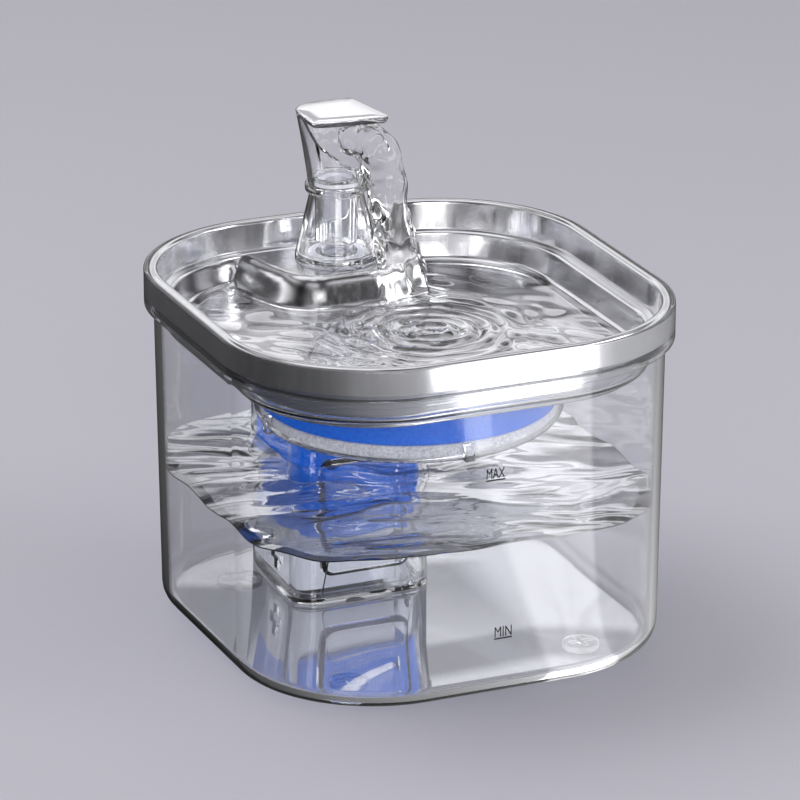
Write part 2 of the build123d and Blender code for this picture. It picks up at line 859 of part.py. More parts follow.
def make_all():
    nodes = {name: make_foot(x, y) for name, x, y in foot_places()}
    nodes["tank"] = make_tank()
    nodes["drinking_tray"] = make_drinking_tray()
    nodes["filter_tray"] = make_filter_tray()
    nodes["filter_cotton"] = make_filter_cotton()
    nodes["filter_granules"] = make_filter_granules()
    nodes["filter_foam"] = make_filter_foam()
    nodes["filter_cover"] = make_filter_cover()
    nodes["pump_box"] = make_pump_box()
    nodes["pump_box_base"] = make_pump_box_base()
    nodes["intake_hatch"] = make_intake_hatch()
    nodes["pump_sponge"] = make_pump_sponge()
    nodes["cable_gland"] = make_cable_gland()
    nodes["pump_housing"] = make_pump_housing()
    nodes["pump_faceplate"] = make_pump_faceplate()
    nodes["pump_feet"] = make_pump_feet()
    nodes["stator_core"] = make_stator_core()
    nodes["stator_coil"] = make_stator_coil()
    nodes["impeller"] = make_impeller()
    nodes["rotor_magnet"] = make_rotor_magnet()
    nodes["rotor_shaft"] = make_rotor_shaft()
    nodes["front_bush"] = make_front_bush()
    nodes["rear_bush"] = make_rear_bush()
    nodes["riser_tube"] = make_riser_tube()
    nodes["riser_seal"] = make_riser_seal()
    nodes["spout_base"] = make_spout_base()
    nodes["spout_seal"] = make_spout_seal()
    nodes["swivel_seal"] = make_swivel_seal()
    nodes["spout_head"] = make_spout_head()
    return nodes


os.makedirs("parts", exist_ok=True)
for node_name, node_shape in make_all().items():
    export_step(node_shape, f"parts/{node_name}.step")
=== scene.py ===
import bpy
import json
import math
import numpy as np
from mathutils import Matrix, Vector


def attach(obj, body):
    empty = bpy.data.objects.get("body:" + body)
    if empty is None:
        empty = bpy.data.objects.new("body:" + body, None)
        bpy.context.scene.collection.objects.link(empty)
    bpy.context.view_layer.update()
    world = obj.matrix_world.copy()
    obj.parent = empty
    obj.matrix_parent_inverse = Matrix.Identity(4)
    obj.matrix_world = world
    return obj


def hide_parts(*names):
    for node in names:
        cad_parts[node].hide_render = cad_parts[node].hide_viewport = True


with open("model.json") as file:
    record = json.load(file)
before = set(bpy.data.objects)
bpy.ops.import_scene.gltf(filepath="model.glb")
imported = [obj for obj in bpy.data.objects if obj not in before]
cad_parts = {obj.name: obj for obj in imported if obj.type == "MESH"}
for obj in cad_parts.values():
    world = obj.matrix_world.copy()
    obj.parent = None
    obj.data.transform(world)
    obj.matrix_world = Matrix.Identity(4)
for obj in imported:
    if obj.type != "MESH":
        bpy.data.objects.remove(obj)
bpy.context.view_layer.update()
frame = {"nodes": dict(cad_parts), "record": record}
nodes = frame["nodes"]
mm = 0.001
scene = bpy.context.scene
scene.view_settings.view_transform = "Standard"
scene.cycles.max_bounces = 24
scene.cycles.transmission_bounces = 24
scene.cycles.glossy_bounces = 10
scene.cycles.transparent_max_bounces = 32
print("stage: frame loaded")

# the fountain's plan: each outline point is a corner centre plus (radius - inset) along its normal
plan = {"halfX": 87.0, "halfY": 92.0, "radius": 59.0}


# corner centres and unit normals of a rounded square; on the straight sides the centre slides along
def outlineFrame(halfX, halfY, radius, arcSteps=24, sideSteps=6, middle=(0.0, 0.0)):
    cx, cy = halfX - radius, halfY - radius
    corners = np.array([(cx, cy), (-cx, cy), (-cx, -cy), (cx, -cy)])
    centres, normals = [], []
    for number in range(4):
        turn = np.linspace(0, math.pi / 2, arcSteps + 1) + number * math.pi / 2
        centres.append(np.repeat(corners[number:number + 1], arcSteps + 1, axis=0))
        normals.append(np.stack([np.cos(turn), np.sin(turn)], axis=1))
        along = np.linspace(0, 1, sideSteps + 1)[1:-1, None]
        nextCorner = corners[(number + 1) % 4]
        centres.append(corners[number] * (1 - along) + nextCorner * along)
        normals.append(np.repeat(normals[-1][-1:], len(along), axis=0))
    return {"centres": np.vstack(centres) + np.array(middle), "normals": np.vstack(normals), "radius": radius}


def planOutline(arcSteps, sideSteps):
    return outlineFrame(plan["halfX"], plan["halfY"], plan["radius"], arcSteps, sideSteps)


# one ring per profile point (inset, height): centre + (radius - inset) * normal
def ringStack(outline, profile):
    profile = np.asarray(profile, float)
    reach = (outline["radius"] - profile[:, 0])[:, None, None]
    xy = outline["centres"][None] + reach * outline["normals"][None]
    z = np.repeat(profile[:, 1][:, None, None], xy.shape[1], axis=1)
    return np.concatenate([xy, z], axis=2)


# one ring per profile point (radius, height) round an upright axis
def latheStack(profile, middle, steps=96):
    profile = np.asarray(profile, float)
    turn = np.linspace(0, 2 * math.pi, steps, endpoint=False)
    x = middle[0] + profile[:, :1] * np.cos(turn)[None]
    y = middle[1] + profile[:, :1] * np.sin(turn)[None]
    z = np.repeat(profile[:, 1:], steps, axis=1)
    return np.stack([x, y, z], axis=2)


# a polyline with each inner corner rounded by an arc: tangent length = radius * tan(turn / 2)
def roundedProfile(points, radii, steps=6):
    points = np.asarray(points, float)
    out = [points[0]]
    for number in range(1, len(points) - 1):
        here = points[number]
        back = points[number - 1] - here
        ahead = points[number + 1] - here
        lengthBack, lengthAhead = np.linalg.norm(back), np.linalg.norm(ahead)
        back, ahead = back / lengthBack, ahead / lengthAhead
        radius = radii[number - 1]
        half = math.acos(np.clip(np.dot(back, ahead), -1, 1)) / 2
        if radius <= 0 or half > math.pi / 2 - 1e-3:
            out.append(here)
            continue
        tangent = min(radius / math.tan(half), 0.49 * lengthBack, 0.49 * lengthAhead)
        radius = tangent * math.tan(half)
        bisector = (back + ahead) / np.linalg.norm(back + ahead)
        centre = here + bisector * radius / math.sin(half)
        first, last = here + back * tangent - centre, here + ahead * tangent - centre
        start, end = math.atan2(first[1], first[0]), math.atan2(last[1], last[0])
        sweep = (end - start + math.pi) % (2 * math.pi) - math.pi
        turn = start + sweep * np.linspace(0, 1, steps + 1)
        out.extend(centre + radius * np.stack([np.cos(turn), np.sin(turn)], axis=1))
    out.append(points[-1])
    return np.array(out)


# signed volume of a triangle or quad mesh, positive when its faces point outwards
def signedVolume(points, quads):
    a, b, c, d = (points[quads[:, k]] for k in range(4))
    return (np.einsum("ij,ij->i", a, np.cross(b, c)) + np.einsum("ij,ij->i", a, np.cross(c, d))).sum()


def newPiece(name, points, faces, smooth=True):
    mesh = bpy.data.meshes.new(name)
    mesh.from_pydata((np.asarray(points) * mm).tolist(), [], faces)
    mesh.polygons.foreach_set("use_smooth", np.full(len(mesh.polygons), smooth))
    mesh.update()
    piece = bpy.data.objects.new(name, mesh)
    scene.collection.objects.link(piece)
    return piece


# edges that turn by more than an angle in degrees stay crisp
def keepCrisp(piece, angle):
    piece.data.set_sharp_from_angle(angle=math.radians(angle))


# a grid of rings becomes quads between neighbours; loop closes the profile on itself, caps close its two ends
def gridPiece(name, grid, loop=False, caps=(True, True), sharp=None):
    rows, columns = grid.shape[:2]
    points = grid.reshape(-1, 3)
    rowList = np.arange(rows if loop else rows - 1)
    r, c = np.meshgrid(rowList, np.arange(columns), indexing="ij")
    r2, c2 = (r + 1) % rows, (c + 1) % columns
    quads = np.stack([r * columns + c, r * columns + c2, r2 * columns + c2, r2 * columns + c], axis=-1)
    quads = quads.reshape(-1, 4)
    faces = quads.tolist()
    centred = points - points.mean(axis=0)
    flip = signedVolume(centred, quads) < 0
    if not loop and caps[0]:
        faces.append(list(range(columns))[::-1])
    if not loop and caps[1]:
        faces.append(list(range((rows - 1) * columns, rows * columns)))
    if flip:
        faces = [face[::-1] for face in faces]
    piece = newPiece(name, points, faces)
    if sharp is not None:
        keepCrisp(piece, sharp)
    return piece


# cuts other pieces out of one, or joins them to it, with exact booleans that are applied
def combine(piece, others, operation):
    for other in others:
        change = piece.modifiers.new("change", "BOOLEAN")
        change.operation = operation
        change.solver = "EXACT"
        change.object = other
    done = bpy.data.meshes.new_from_object(piece.evaluated_get(bpy.context.evaluated_depsgraph_get()))
    piece.modifiers.clear()
    old = piece.data
    name = old.name
    piece.data = done
    bpy.data.meshes.remove(old)
    done.name = name
    for other in others:
        bpy.data.objects.remove(other)


def cutOut(piece, cutters):
    combine(piece, cutters, "DIFFERENCE")


def joinPieces(piece, others):
    combine(piece, others, "UNION")


def roundCutter(x, y, radius, low, high, steps=48):
    return gridPiece("cutter", latheStack([(radius, low), (radius, high)], (x, y), steps))


def boxCutter(low, high):
    x, y, z = zip(low, high)
    corners = [(x[0], y[0]), (x[1], y[0]), (x[1], y[1]), (x[0], y[1])]
    grid = np.array([[(a, b, level) for a, b in corners] for level in z], float)
    return gridPiece("cutter", grid)


# a second material on the faces that look up and lie between two heights
def paintTop(piece, material, heights=(-math.inf, math.inf)):
    polygons = piece.data.polygons
    centre, normal = np.zeros(len(polygons) * 3), np.zeros(len(polygons) * 3)
    polygons.foreach_get("center", centre)
    polygons.foreach_get("normal", normal)
    height = centre[2::3] / mm
    picked = (height > heights[0]) & (height < heights[1]) & (normal[2::3] > 0.8)
    piece.data.materials.append(material)
    polygons.foreach_set("material_index", picked.astype(np.int32))


def finish(piece, material, body, slot=None, *replaced):
    piece.data.materials.clear()
    piece.data.materials.append(material)
    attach(piece, body)
    if replaced:
        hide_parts(*replaced)
    return piece


# a node with its settings: sockets names input sockets and gives each a value or a socket to link from,
# and fields are the node's own
def addNode(tree, kind, sockets=None, **fields):
    node = tree.nodes.new(kind)
    for name, value in fields.items():
        setattr(node, name, value)
    for name, value in (sockets or {}).items():
        if isinstance(value, bpy.types.NodeSocket):
            tree.links.new(value, node.inputs[name])
        else:
            node.inputs[name].default_value = value
    return node


def newMaterial(name):
    material = bpy.data.materials.new(name)
    material.use_nodes = True
    material.node_tree.nodes.clear()
    return material, material.node_tree


# wear group: cloudy smears and fine scratches over the surface, as a roughness and a height
def makeWearGroup():
    tree = bpy.data.node_groups.new("surfaceWear", "ShaderNodeTree")
    for name, value in (("Cloud Scale", 30.0), ("Scratch Scale", 400.0), ("Low", 0.02), ("High", 0.1)):
        socket = tree.interface.new_socket(name=name, in_out="INPUT", socket_type="NodeSocketFloat")
        socket.default_value = value
    for name in ("Roughness", "Height"):
        tree.interface.new_socket(name=name, in_out="OUTPUT", socket_type="NodeSocketFloat")
    given = addNode(tree, "NodeGroupInput").outputs
    place = addNode(tree, "ShaderNodeTexCoord").outputs["Object"]
    cloud = addNode(tree, "ShaderNodeTexNoise", {"Vector": place, "Scale": given["Cloud Scale"], "Detail": 4.0})
    stretch = addNode(tree, "ShaderNodeMapping", {"Vector": place, "Scale": (1.0, 1.0, 0.08)})
    scratch = addNode(tree, "ShaderNodeTexNoise", {
        "Vector": stretch.outputs["Vector"], "Scale": given["Scratch Scale"], "Detail": 2.0})
    both = addNode(tree, "ShaderNodeMath", {0: cloud.outputs["Fac"], 1: scratch.outputs["Fac"]}, operation="MULTIPLY")
    spread = addNode(tree, "ShaderNodeMapRange", {
        "Value": both.outputs[0], "From Min": 0.15, "From Max": 0.5, "To Min": given["Low"], "To Max": given["High"]})
    addNode(tree, "NodeGroupOutput", {"Roughness": spread.outputs["Result"], "Height": scratch.outputs["Fac"]})
    return tree


wearGroup = makeWearGroup()


def addWear(tree, cloudScale, scratchScale, low, high):
    wear = addNode(tree, "ShaderNodeGroup", node_tree=wearGroup)
    for name, value in (("Cloud Scale", cloudScale), ("Scratch Scale", scratchScale), ("Low", low), ("High", high)):
        wear.inputs[name].default_value = value
    return wear.outputs


def addBump(tree, height, strength, distance):
    bump = addNode(tree, "ShaderNodeBump", {"Strength": strength, "Distance": distance, "Height": height})
    return bump.outputs["Normal"]


def addMixed(tree, share, first, second):
    return addNode(tree, "ShaderNodeMixShader", {0: share, 1: first, 2: second}).outputs[0]


# clear plastic or water: glass for what is seen, and a plain tint for lamps and soft light so they reach the inside.
# mirror is how strongly it reflects at a flat angle, over what glass would; edge is how dark its outlines are painted,
# a painted shade where the surface turns away from the view
def clearMaterial(name, colour, ior, tint, low=0.0, high=0.04, mirror=0.0, edge=0.0, edgeShadeFrom=0.74):
    material, tree = newMaterial(name)
    wear = addWear(tree, 25.0, 350.0, low, high)
    glass = addNode(tree, "ShaderNodeBsdfPrincipled", {
        "Base Color": (*colour, 1), "IOR": ior, "Transmission Weight": 1.0,
        "Roughness": wear["Roughness"]}).outputs[0]
    seen = glass
    facing = addNode(tree, "ShaderNodeLayerWeight", {"Blend": 0.5}).outputs["Facing"]
    if edge:
        # painted shade: a dark see-through mix where the surface turns edge-on to the view draws dark outlines
        shade = addNode(tree, "ShaderNodeBsdfTransparent", {"Color": (0.06, 0.06, 0.065, 1)})
        flat = addNode(tree, "ShaderNodeMapRange", {
            "Value": facing, "From Min": edgeShadeFrom, "From Max": 0.98, "To Max": edge})
        seen = addMixed(tree, flat.outputs["Result"], glass, shade.outputs[0])
    if mirror:
        gloss = addNode(tree, "ShaderNodeBsdfGlossy", {"Color": (0.95, 0.95, 0.97, 1), "Roughness": 0.02})
        share = addNode(tree, "ShaderNodeMath", {0: facing, 1: mirror}, operation="MULTIPLY")
        seen = addMixed(tree, share.outputs[0], glass, gloss.outputs[0])
    window = addNode(tree, "ShaderNodeBsdfTransparent", {"Color": (*tint, 1)}).outputs[0]
    path = addNode(tree, "ShaderNodeLightPath").outputs
    plain = addNode(tree, "ShaderNodeMath", {
        0: path["Is Shadow Ray"], 1: path["Is Diffuse Ray"]}, operation="MAXIMUM")
    addNode(tree, "ShaderNodeOutputMaterial", {"Surface": addMixed(tree, plain.outputs[0], seen, window)})
    return material


# a plain solid finish with smears: colour and roughness range
def solidMaterial(name, colour, low, high, metallic=0.0, clouds=40.0, scratches=300.0, bump=0.1):
    material, tree = newMaterial(name)
    wear = addWear(tree, clouds, scratches, low, high)
    shader = addNode(tree, "ShaderNodeBsdfPrincipled", {
        "Base Color": (*colour, 1), "Metallic": metallic, "Roughness": wear["Roughness"],
        "Normal": addBump(tree, wear["Height"], bump, 0.0001)})
    addNode(tree, "ShaderNodeOutputMaterial", {"Surface": shader.outputs[0]})
    return material


# open-cell foam or cotton: small cells darken and dent the surface
def fibreMaterial(name, light, dark, cellScale, contrast, sheen, specular=0.5):
    material, tree = newMaterial(name)
    place = addNode(tree, "ShaderNodeTexCoord").outputs["Object"]
    cells = addNode(tree, "ShaderNodeTexVoronoi", {"Vector": place, "Scale": cellScale})
    noise = addNode(tree, "ShaderNodeTexNoise", {
        "Vector": place, "Scale": cellScale * 0.8, "Detail": 6.0, "Roughness": 0.7})
    spread = addNode(tree, "ShaderNodeMapRange", {
        "Value": noise.outputs["Fac"], "From Min": 0.5 - contrast, "From Max": 0.5 + contrast * 0.4})
    colour = addNode(tree, "ShaderNodeMix", data_type="RGBA")
    colour.inputs["A"].default_value = (*dark, 1)
    colour.inputs["B"].default_value = (*light, 1)
    tree.links.new(spread.outputs["Result"], colour.inputs["Factor"])
    shader = addNode(tree, "ShaderNodeBsdfPrincipled", {
        "Base Color": colour.outputs["Result"], "Roughness": 0.85, "Sheen Weight": sheen,
        "Specular IOR Level": specular, "Normal": addBump(tree, cells.outputs["Distance"], 0.6, 0.0004)})
    addNode(tree, "ShaderNodeOutputMaterial", {"Surface": shader.outputs[0]})
    return material


clearTank = clearMaterial("clearTank", (0.97, 0.975, 0.985), 1.47, (0.95, 0.955, 0.965), high=0.03, edge=0.6)
clearInner = clearMaterial("clearInner", (0.96, 0.965, 0.98), 1.49, (0.94, 0.945, 0.96), edge=0.85)
spoutClear = {"colour": (0.98, 0.982, 0.99), "ior": 1.49, "tint": (0.95, 0.95, 0.96), "high": 0.02}
clearSpout = clearMaterial("clearSpout", **spoutClear, edge=1.0, edgeShadeFrom=0.62)
lidTop = clearMaterial("lidTop", **spoutClear, mirror=1.0)
clearFeet = clearMaterial("clearFeet", (0.94, 0.945, 0.95), 1.42, (0.9, 0.9, 0.92), low=0.02, high=0.1, edge=0.5)
mirrorFloor = clearMaterial("mirrorFloor", (0.97, 0.975, 0.985), 1.47, (0.93, 0.935, 0.945), high=0.03, mirror=0.5)
water = {"colour": (1.0, 1.0, 1.0), "ior": 1.333, "tint": (0.96, 0.965, 0.975), "high": 0.0}
waterClear = clearMaterial("waterClear", **water, edge=0.95, edgeShadeFrom=0.6)
poolTop = clearMaterial("poolTop", **water, mirror=0.4)
waterTop = clearMaterial("waterTop", **water, mirror=0.8)
steel = solidMaterial(
    "polishedSteel", (0.76, 0.76, 0.78), 0.13, 0.22, metallic=1.0, clouds=35.0, scratches=500.0, bump=0.04)
blueFoam = fibreMaterial("blueFoam", (0.0, 0.22, 1.0), (0.0, 0.1, 0.8), 900.0, 0.25, 0.0, 0.15)
coverTop = fibreMaterial("coverTop", (0.5, 0.58, 0.98), (0.2, 0.28, 0.8), 900.0, 0.25, 0.1)
whiteCotton = fibreMaterial("whiteCotton", (0.95, 0.95, 0.95), (0.45, 0.45, 0.46), 1100.0, 0.22, 0.3)
granules = fibreMaterial("carbonGranules", (0.12, 0.12, 0.12), (0.02, 0.02, 0.02), 500.0, 0.3, 0.0)
darkRubber = solidMaterial("darkRubber", (0.05, 0.05, 0.055), 0.45, 0.7)
whiteSilicone = solidMaterial("whiteSilicone", (0.85, 0.86, 0.88), 0.3, 0.5)
pumpPlastic = solidMaterial("pumpPlastic", (0.82, 0.83, 0.85), 0.2, 0.4)
whitePlastic = solidMaterial("whitePlastic", (0.82, 0.82, 0.8), 0.25, 0.45)
ferrite = solidMaterial("magnetFerrite", (0.06, 0.06, 0.065), 0.4, 0.6)
ceramic = solidMaterial("shaftCeramic", (0.88, 0.87, 0.84), 0.15, 0.3)
coreSteel = solidMaterial("coreSteel", (0.5, 0.5, 0.52), 0.35, 0.55, metallic=1.0)
blackPrint = solidMaterial("blackPrint", (0.01, 0.01, 0.011), 0.75, 0.9)
copper = solidMaterial("coilCopper", (0.75, 0.32, 0.12), 0.3, 0.5, metallic=1.0)

slotFinish = {
    "clear_tank": clearTank, "clear_inner": clearInner, "clear_spout": clearSpout, "clear_feet": clearFeet,
    "polished_steel": steel, "blue_foam": blueFoam, "white_cotton": whiteCotton,
    "carbon_granules": granules, "dark_rubber": darkRubber, "white_silicone": whiteSilicone,
    "pump_plastic": pumpPlastic, "white_plastic": whitePlastic, "magnet_ferrite": ferrite,
    "shaft_ceramic": ceramic, "core_steel": coreSteel, "coil_copper": copper,
}
slotOf = {entry["node"]: entry["material_slot"] for entry in frame["record"]["subparts"]}
for nodeName, node in nodes.items():
    material = slotFinish[slotOf[nodeName]]
    if not node.material_slots:
        node.data.materials.append(material)
    for materialSlot in node.material_slots:
        materialSlot.material = material
print("stage: materials ready")

tank = {
    "rimHeight": 134.0, "shoulder": 119.9, "ledge": 121.4, "step": 3.5, "draft": 1.7,
    "wall": 2.2, "collarWall": 1.8, "underside": 2.4, "innerFloor": 5.2,
    "edgeRadius": 7.5, "shoulderRadius": 1.2, "rimRadius": 0.6,
    "slotX": 12.0, "slotWidth": 8.0, "slotDepth": 7.9, "slotLow": 117.2, "slotHigh": 122.4,  # way out for the lead
    "air": 0.06,  # keeps clear pieces that touch a hair apart, or their shared faces turn black
    "footX": 46.5, "footY": 54.0, "keyHalf": 4.86, "keyThin": 1.16, "keyLow": 1.0, "keyHigh": 3.87,
}


# the wall's inset at a height: it leans in evenly from the collar to the floor
def tankInset(height):
    span = tank["ledge"] - tank["underside"]
    return tank["step"] + tank["draft"] * (tank["ledge"] - height) / span


def makeTank():
    outline = planOutline(28, 6)
    t = tank
    innerTop = tankInset(t["ledge"]) + t["wall"]
    innerLow = tankInset(t["innerFloor"]) + t["wall"]
    deep = plan["radius"] - 1.0
    under, floor, ledge = t["underside"] + t["air"], t["innerFloor"] - t["air"], t["ledge"] - t["air"]
    points = [
        (deep, under), (tankInset(t["underside"]), under),
        (tankInset(t["shoulder"]), t["shoulder"]), (0.0, t["shoulder"]), (0.0, t["rimHeight"]),
        (t["collarWall"], t["rimHeight"]), (t["collarWall"], ledge), (innerTop, ledge),
        (innerLow, floor), (deep, floor),
    ]
    rim = t["rimRadius"]
    radii = [t["edgeRadius"], 0.8, t["shoulderRadius"], rim, rim, 0.5, 0.6, t["edgeRadius"] - t["wall"]]
    shell = gridPiece("tankShell", ringStack(outline, roundedProfile(points, radii)), sharp=50)
    half = t["slotWidth"] / 2
    leadSlot = boxCutter(
        (t["slotX"] - half, plan["halfY"] - t["slotDepth"], t["slotLow"]),
        (t["slotX"] + half, plan["halfY"] + 2, t["slotHigh"]))
    sockets = []
    for x in (-t["footX"], t["footX"]):
        for y in (-t["footY"], t["footY"]):
            for a, b in ((t["keyHalf"], t["keyThin"]), (t["keyThin"], t["keyHalf"])):
                sockets.append(boxCutter((x - a, y - b, t["keyLow"]), (x + a, y + b, t["keyHigh"])))
    cutOut(shell, [leadSlot, *sockets])
    finish(shell, clearTank, "root", "clear_tank", "tank")
    paintTop(shell, mirrorFloor, (0.0, t["innerFloor"] + 0.3))
    keepCrisp(shell, 50)


makeTank()
print("stage: tank shell")

tray = {
    "outer": 2.1, "rimInner": 4.7, "ledgeOuter": 6.2, "ledgeInner": 10.5, "ledge": 123.0,
    "stepInset": 11.0, "step": 120.0, "poolInset": 12.2, "pool": 114.0, "floorInset": 16.7, "floor": 110.8,
    "skirt": 124.7, "rim": 134.0, "sheet": 0.6, "bead": 0.35,
    "seatFront": 45.0, "seatFrontHalf": 23.0, "seatBackHalf": 35.0, "seatCorner": 15.0,
    "seatBend": 9.0, "bendStart": 1.0, "seatBlend": 0.6,  # its edge's S-bend: length, start inside the plan, rounding
    "holeX": 0.0, "holeY": 67.5, "holeRadius": 8.4, "drainRadius": 3.6, "drainRing": 14.0, "drains": 6,
    "rimRings": 19,  # rings of the rim and ledge, which the seat leaves alone
}


# the seat's plan widens to the back: how far its sides lean, and the middle of its right front corner
def seatShape():
    t = tray
    back = plan["halfY"] - t["ledgeOuter"]
    lean = math.atan2(t["seatBackHalf"] - t["seatFrontHalf"], back - t["seatFront"])
    r = t["seatCorner"]
    return lean, t["seatFrontHalf"] - r * (1 / math.cos(lean) - math.tan(lean)), t["seatFront"] + r


# distance outside the seat's plan, straight from its sides and front and round its two front corners
def seatDistance(x, y):
    lean, cornerX, cornerY = seatShape()
    x, y = np.abs(x) - cornerX, y - cornerY
    side = x * math.cos(lean) - y * math.sin(lean)
    inCorner = (x > 0) & (x * math.sin(lean) + y * math.cos(lean) < 0)
    return np.where(inCorner, np.hypot(x, y), np.maximum(side, -y)) - tray["seatCorner"]


# seat height at a distance outside its plan: level on top, then one smooth S-bend down to the floor
def seatHeight(distance):
    t = tray
    k = np.clip((distance + t["bendStart"]) / t["seatBend"], 0, 1)
    return t["ledge"] - (t["ledge"] - t["floor"]) * k * k * (3 - 2 * k)


# larger of two heights, rounded over a small band where they meet
def smoothMax(a, b, band):
    h = np.clip(0.5 + 0.5 * (a - b) / band, 0, 1)
    return b * (1 - h) + a * h + band * h * (1 - h) * 0.5


def trayProfile():
    t = tray
    points = [
        (t["outer"], t["skirt"]), (t["outer"], t["rim"]), (t["rimInner"], t["rim"]),
        (t["ledgeOuter"], t["ledge"]), (t["ledgeInner"] - 1.2, t["ledge"]),
        (t["ledgeInner"] - 0.6, t["ledge"] + t["bead"]), (t["ledgeInner"], t["ledge"] - 0.1),
        (t["stepInset"], t["step"]), (t["poolInset"], t["pool"]), (t["floorInset"], t["floor"]),
        (t["floorInset"] + 6.0, t["floor"]),
    ]
    radii = [1.1, 1.0, 1.0, 0.3, 0.3, 0.5, 1.6, 2.5, 3.0]
    return roundedProfile(points, radii, 5)


def makeTray():
    t = tray
    outline = planOutline(40, 34)
    rings = ringStack(outline, trayProfile())
    last = rings[-1]
    shrink = np.linspace(1, 0.02, 64)[1:, None, None]
    inner = last[None] * np.array([1, 1, 0]) * shrink + last[None] * np.array([0, 0, 1])
    grid = np.concatenate([rings, inner], axis=0)
    bowlHeight = grid[:, :, 2]
    inside = np.arange(grid.shape[0])[:, None] >= t["rimRings"]
    seat = seatHeight(seatDistance(grid[:, :, 0], grid[:, :, 1]))
    blended = smoothMax(bowlHeight, seat, t["seatBlend"])
    grid[:, :, 2] = np.where(inside & (seat > t["floor"] + 0.01), blended, bowlHeight)
    piece = gridPiece("steelTray", grid, caps=(False, True))
    thick = piece.modifiers.new("sheet", "SOLIDIFY")
    thick.thickness = t["sheet"] * mm
    thick.offset = -1.0
    thick.use_even_offset = True
    turns = [2 * math.pi * number / t["drains"] for number in range(t["drains"])]
    drains = [(0, 0), *[(t["drainRing"] * math.cos(turn), t["drainRing"] * math.sin(turn)) for turn in turns]]
    cutters = [roundCutter(x, y, t["drainRadius"], t["floor"] - 6, t["floor"] + 4) for x, y in drains]
    cutters.append(roundCutter(t["holeX"], t["holeY"], t["holeRadius"], t["ledge"] - 5, t["ledge"] + 5))
    cutOut(piece, cutters)
    keepCrisp(piece, 55)
    return finish(piece, steel, "drinking_unit", "polished_steel", "drinking_tray")


makeTray()
print("stage: steel tray")

filterTray = {
    "flangeInset": 2.2, "flangeLow": 121.4, "flangeTop": 122.4, "gap": 1.1, "wall": 1.5,
    "cupRadius": 58.0, "cupBottom": 82.4, "cupWall": 1.5, "cupEdge": 7.0, "ribs": 4, "ribWidth": 3.6, "ribDepth": 2.6,
    "ribHeight": 5.6, "slots": 12, "slotLength": 16.0, "slotWidth": 3.0, "slotRadius": 34.0,
    "chimney": 7.0, "chimneyWall": 1.5, "chimneyHeight": 2.8,
}


# circles round the upright axis, with a point at the heading of each outline point
def circleRings(outline, profile):
    profile = np.asarray(profile, float)
    edge = outline["centres"] + outline["radius"] * outline["normals"]
    turn = np.arctan2(edge[:, 1], edge[:, 0])[None]
    x, y = profile[:, :1] * np.cos(turn), profile[:, :1] * np.sin(turn)
    return np.stack([x, y, np.repeat(profile[:, 1:], turn.shape[1], axis=1)], axis=2)


# several boxes (x, y and z limits, then a turn about the upright axis) as one mesh
def barPiece(bars, name="cutter"):
    corners = np.array([(0, 2, 4), (1, 2, 4), (1, 3, 4), (0, 3, 4), (0, 2, 5), (1, 2, 5), (1, 3, 5), (0, 3, 5)])
    sides = [[3, 2, 1, 0], [4, 5, 6, 7], [0, 1, 5, 4], [1, 2, 6, 5], [2, 3, 7, 6], [3, 0, 4, 7]]
    points, faces = [], []
    for number, bar in enumerate(bars):
        box = np.array(bar[:6])[corners]
        c, s = math.cos(bar[6]), math.sin(bar[6])
        points.append(box @ np.array([(c, s, 0), (-s, c, 0), (0, 0, 1)]))
        faces += [[8 * number + k for k in side] for side in sides]
    return newPiece(name, np.vstack(points), faces)


# one side of the dish: it keeps a set distance outside the steel bowl
def dishProfile(shift, top):
    t = tray
    points = [
        (t["ledgeInner"] - shift, top), (t["stepInset"] - shift, t["step"] - shift),
        (t["poolInset"] - shift, t["pool"] - shift), (t["floorInset"] - shift, t["floor"] - shift),
        (t["floorInset"] + 7.0, t["floor"] - shift),
    ]
    return roundedProfile(points, [1.0, 2.0 + shift, 3.0 + shift], 5)


# the round cup that hangs from the dish's floor, from its mouth to near its middle
def cupProfile(radius, top, bottom, mouthEdge, edge):
    return roundedProfile([(radius + 2, top), (radius, top), (radius, bottom), (1.0, bottom)], [mouthEdge, edge], 8)


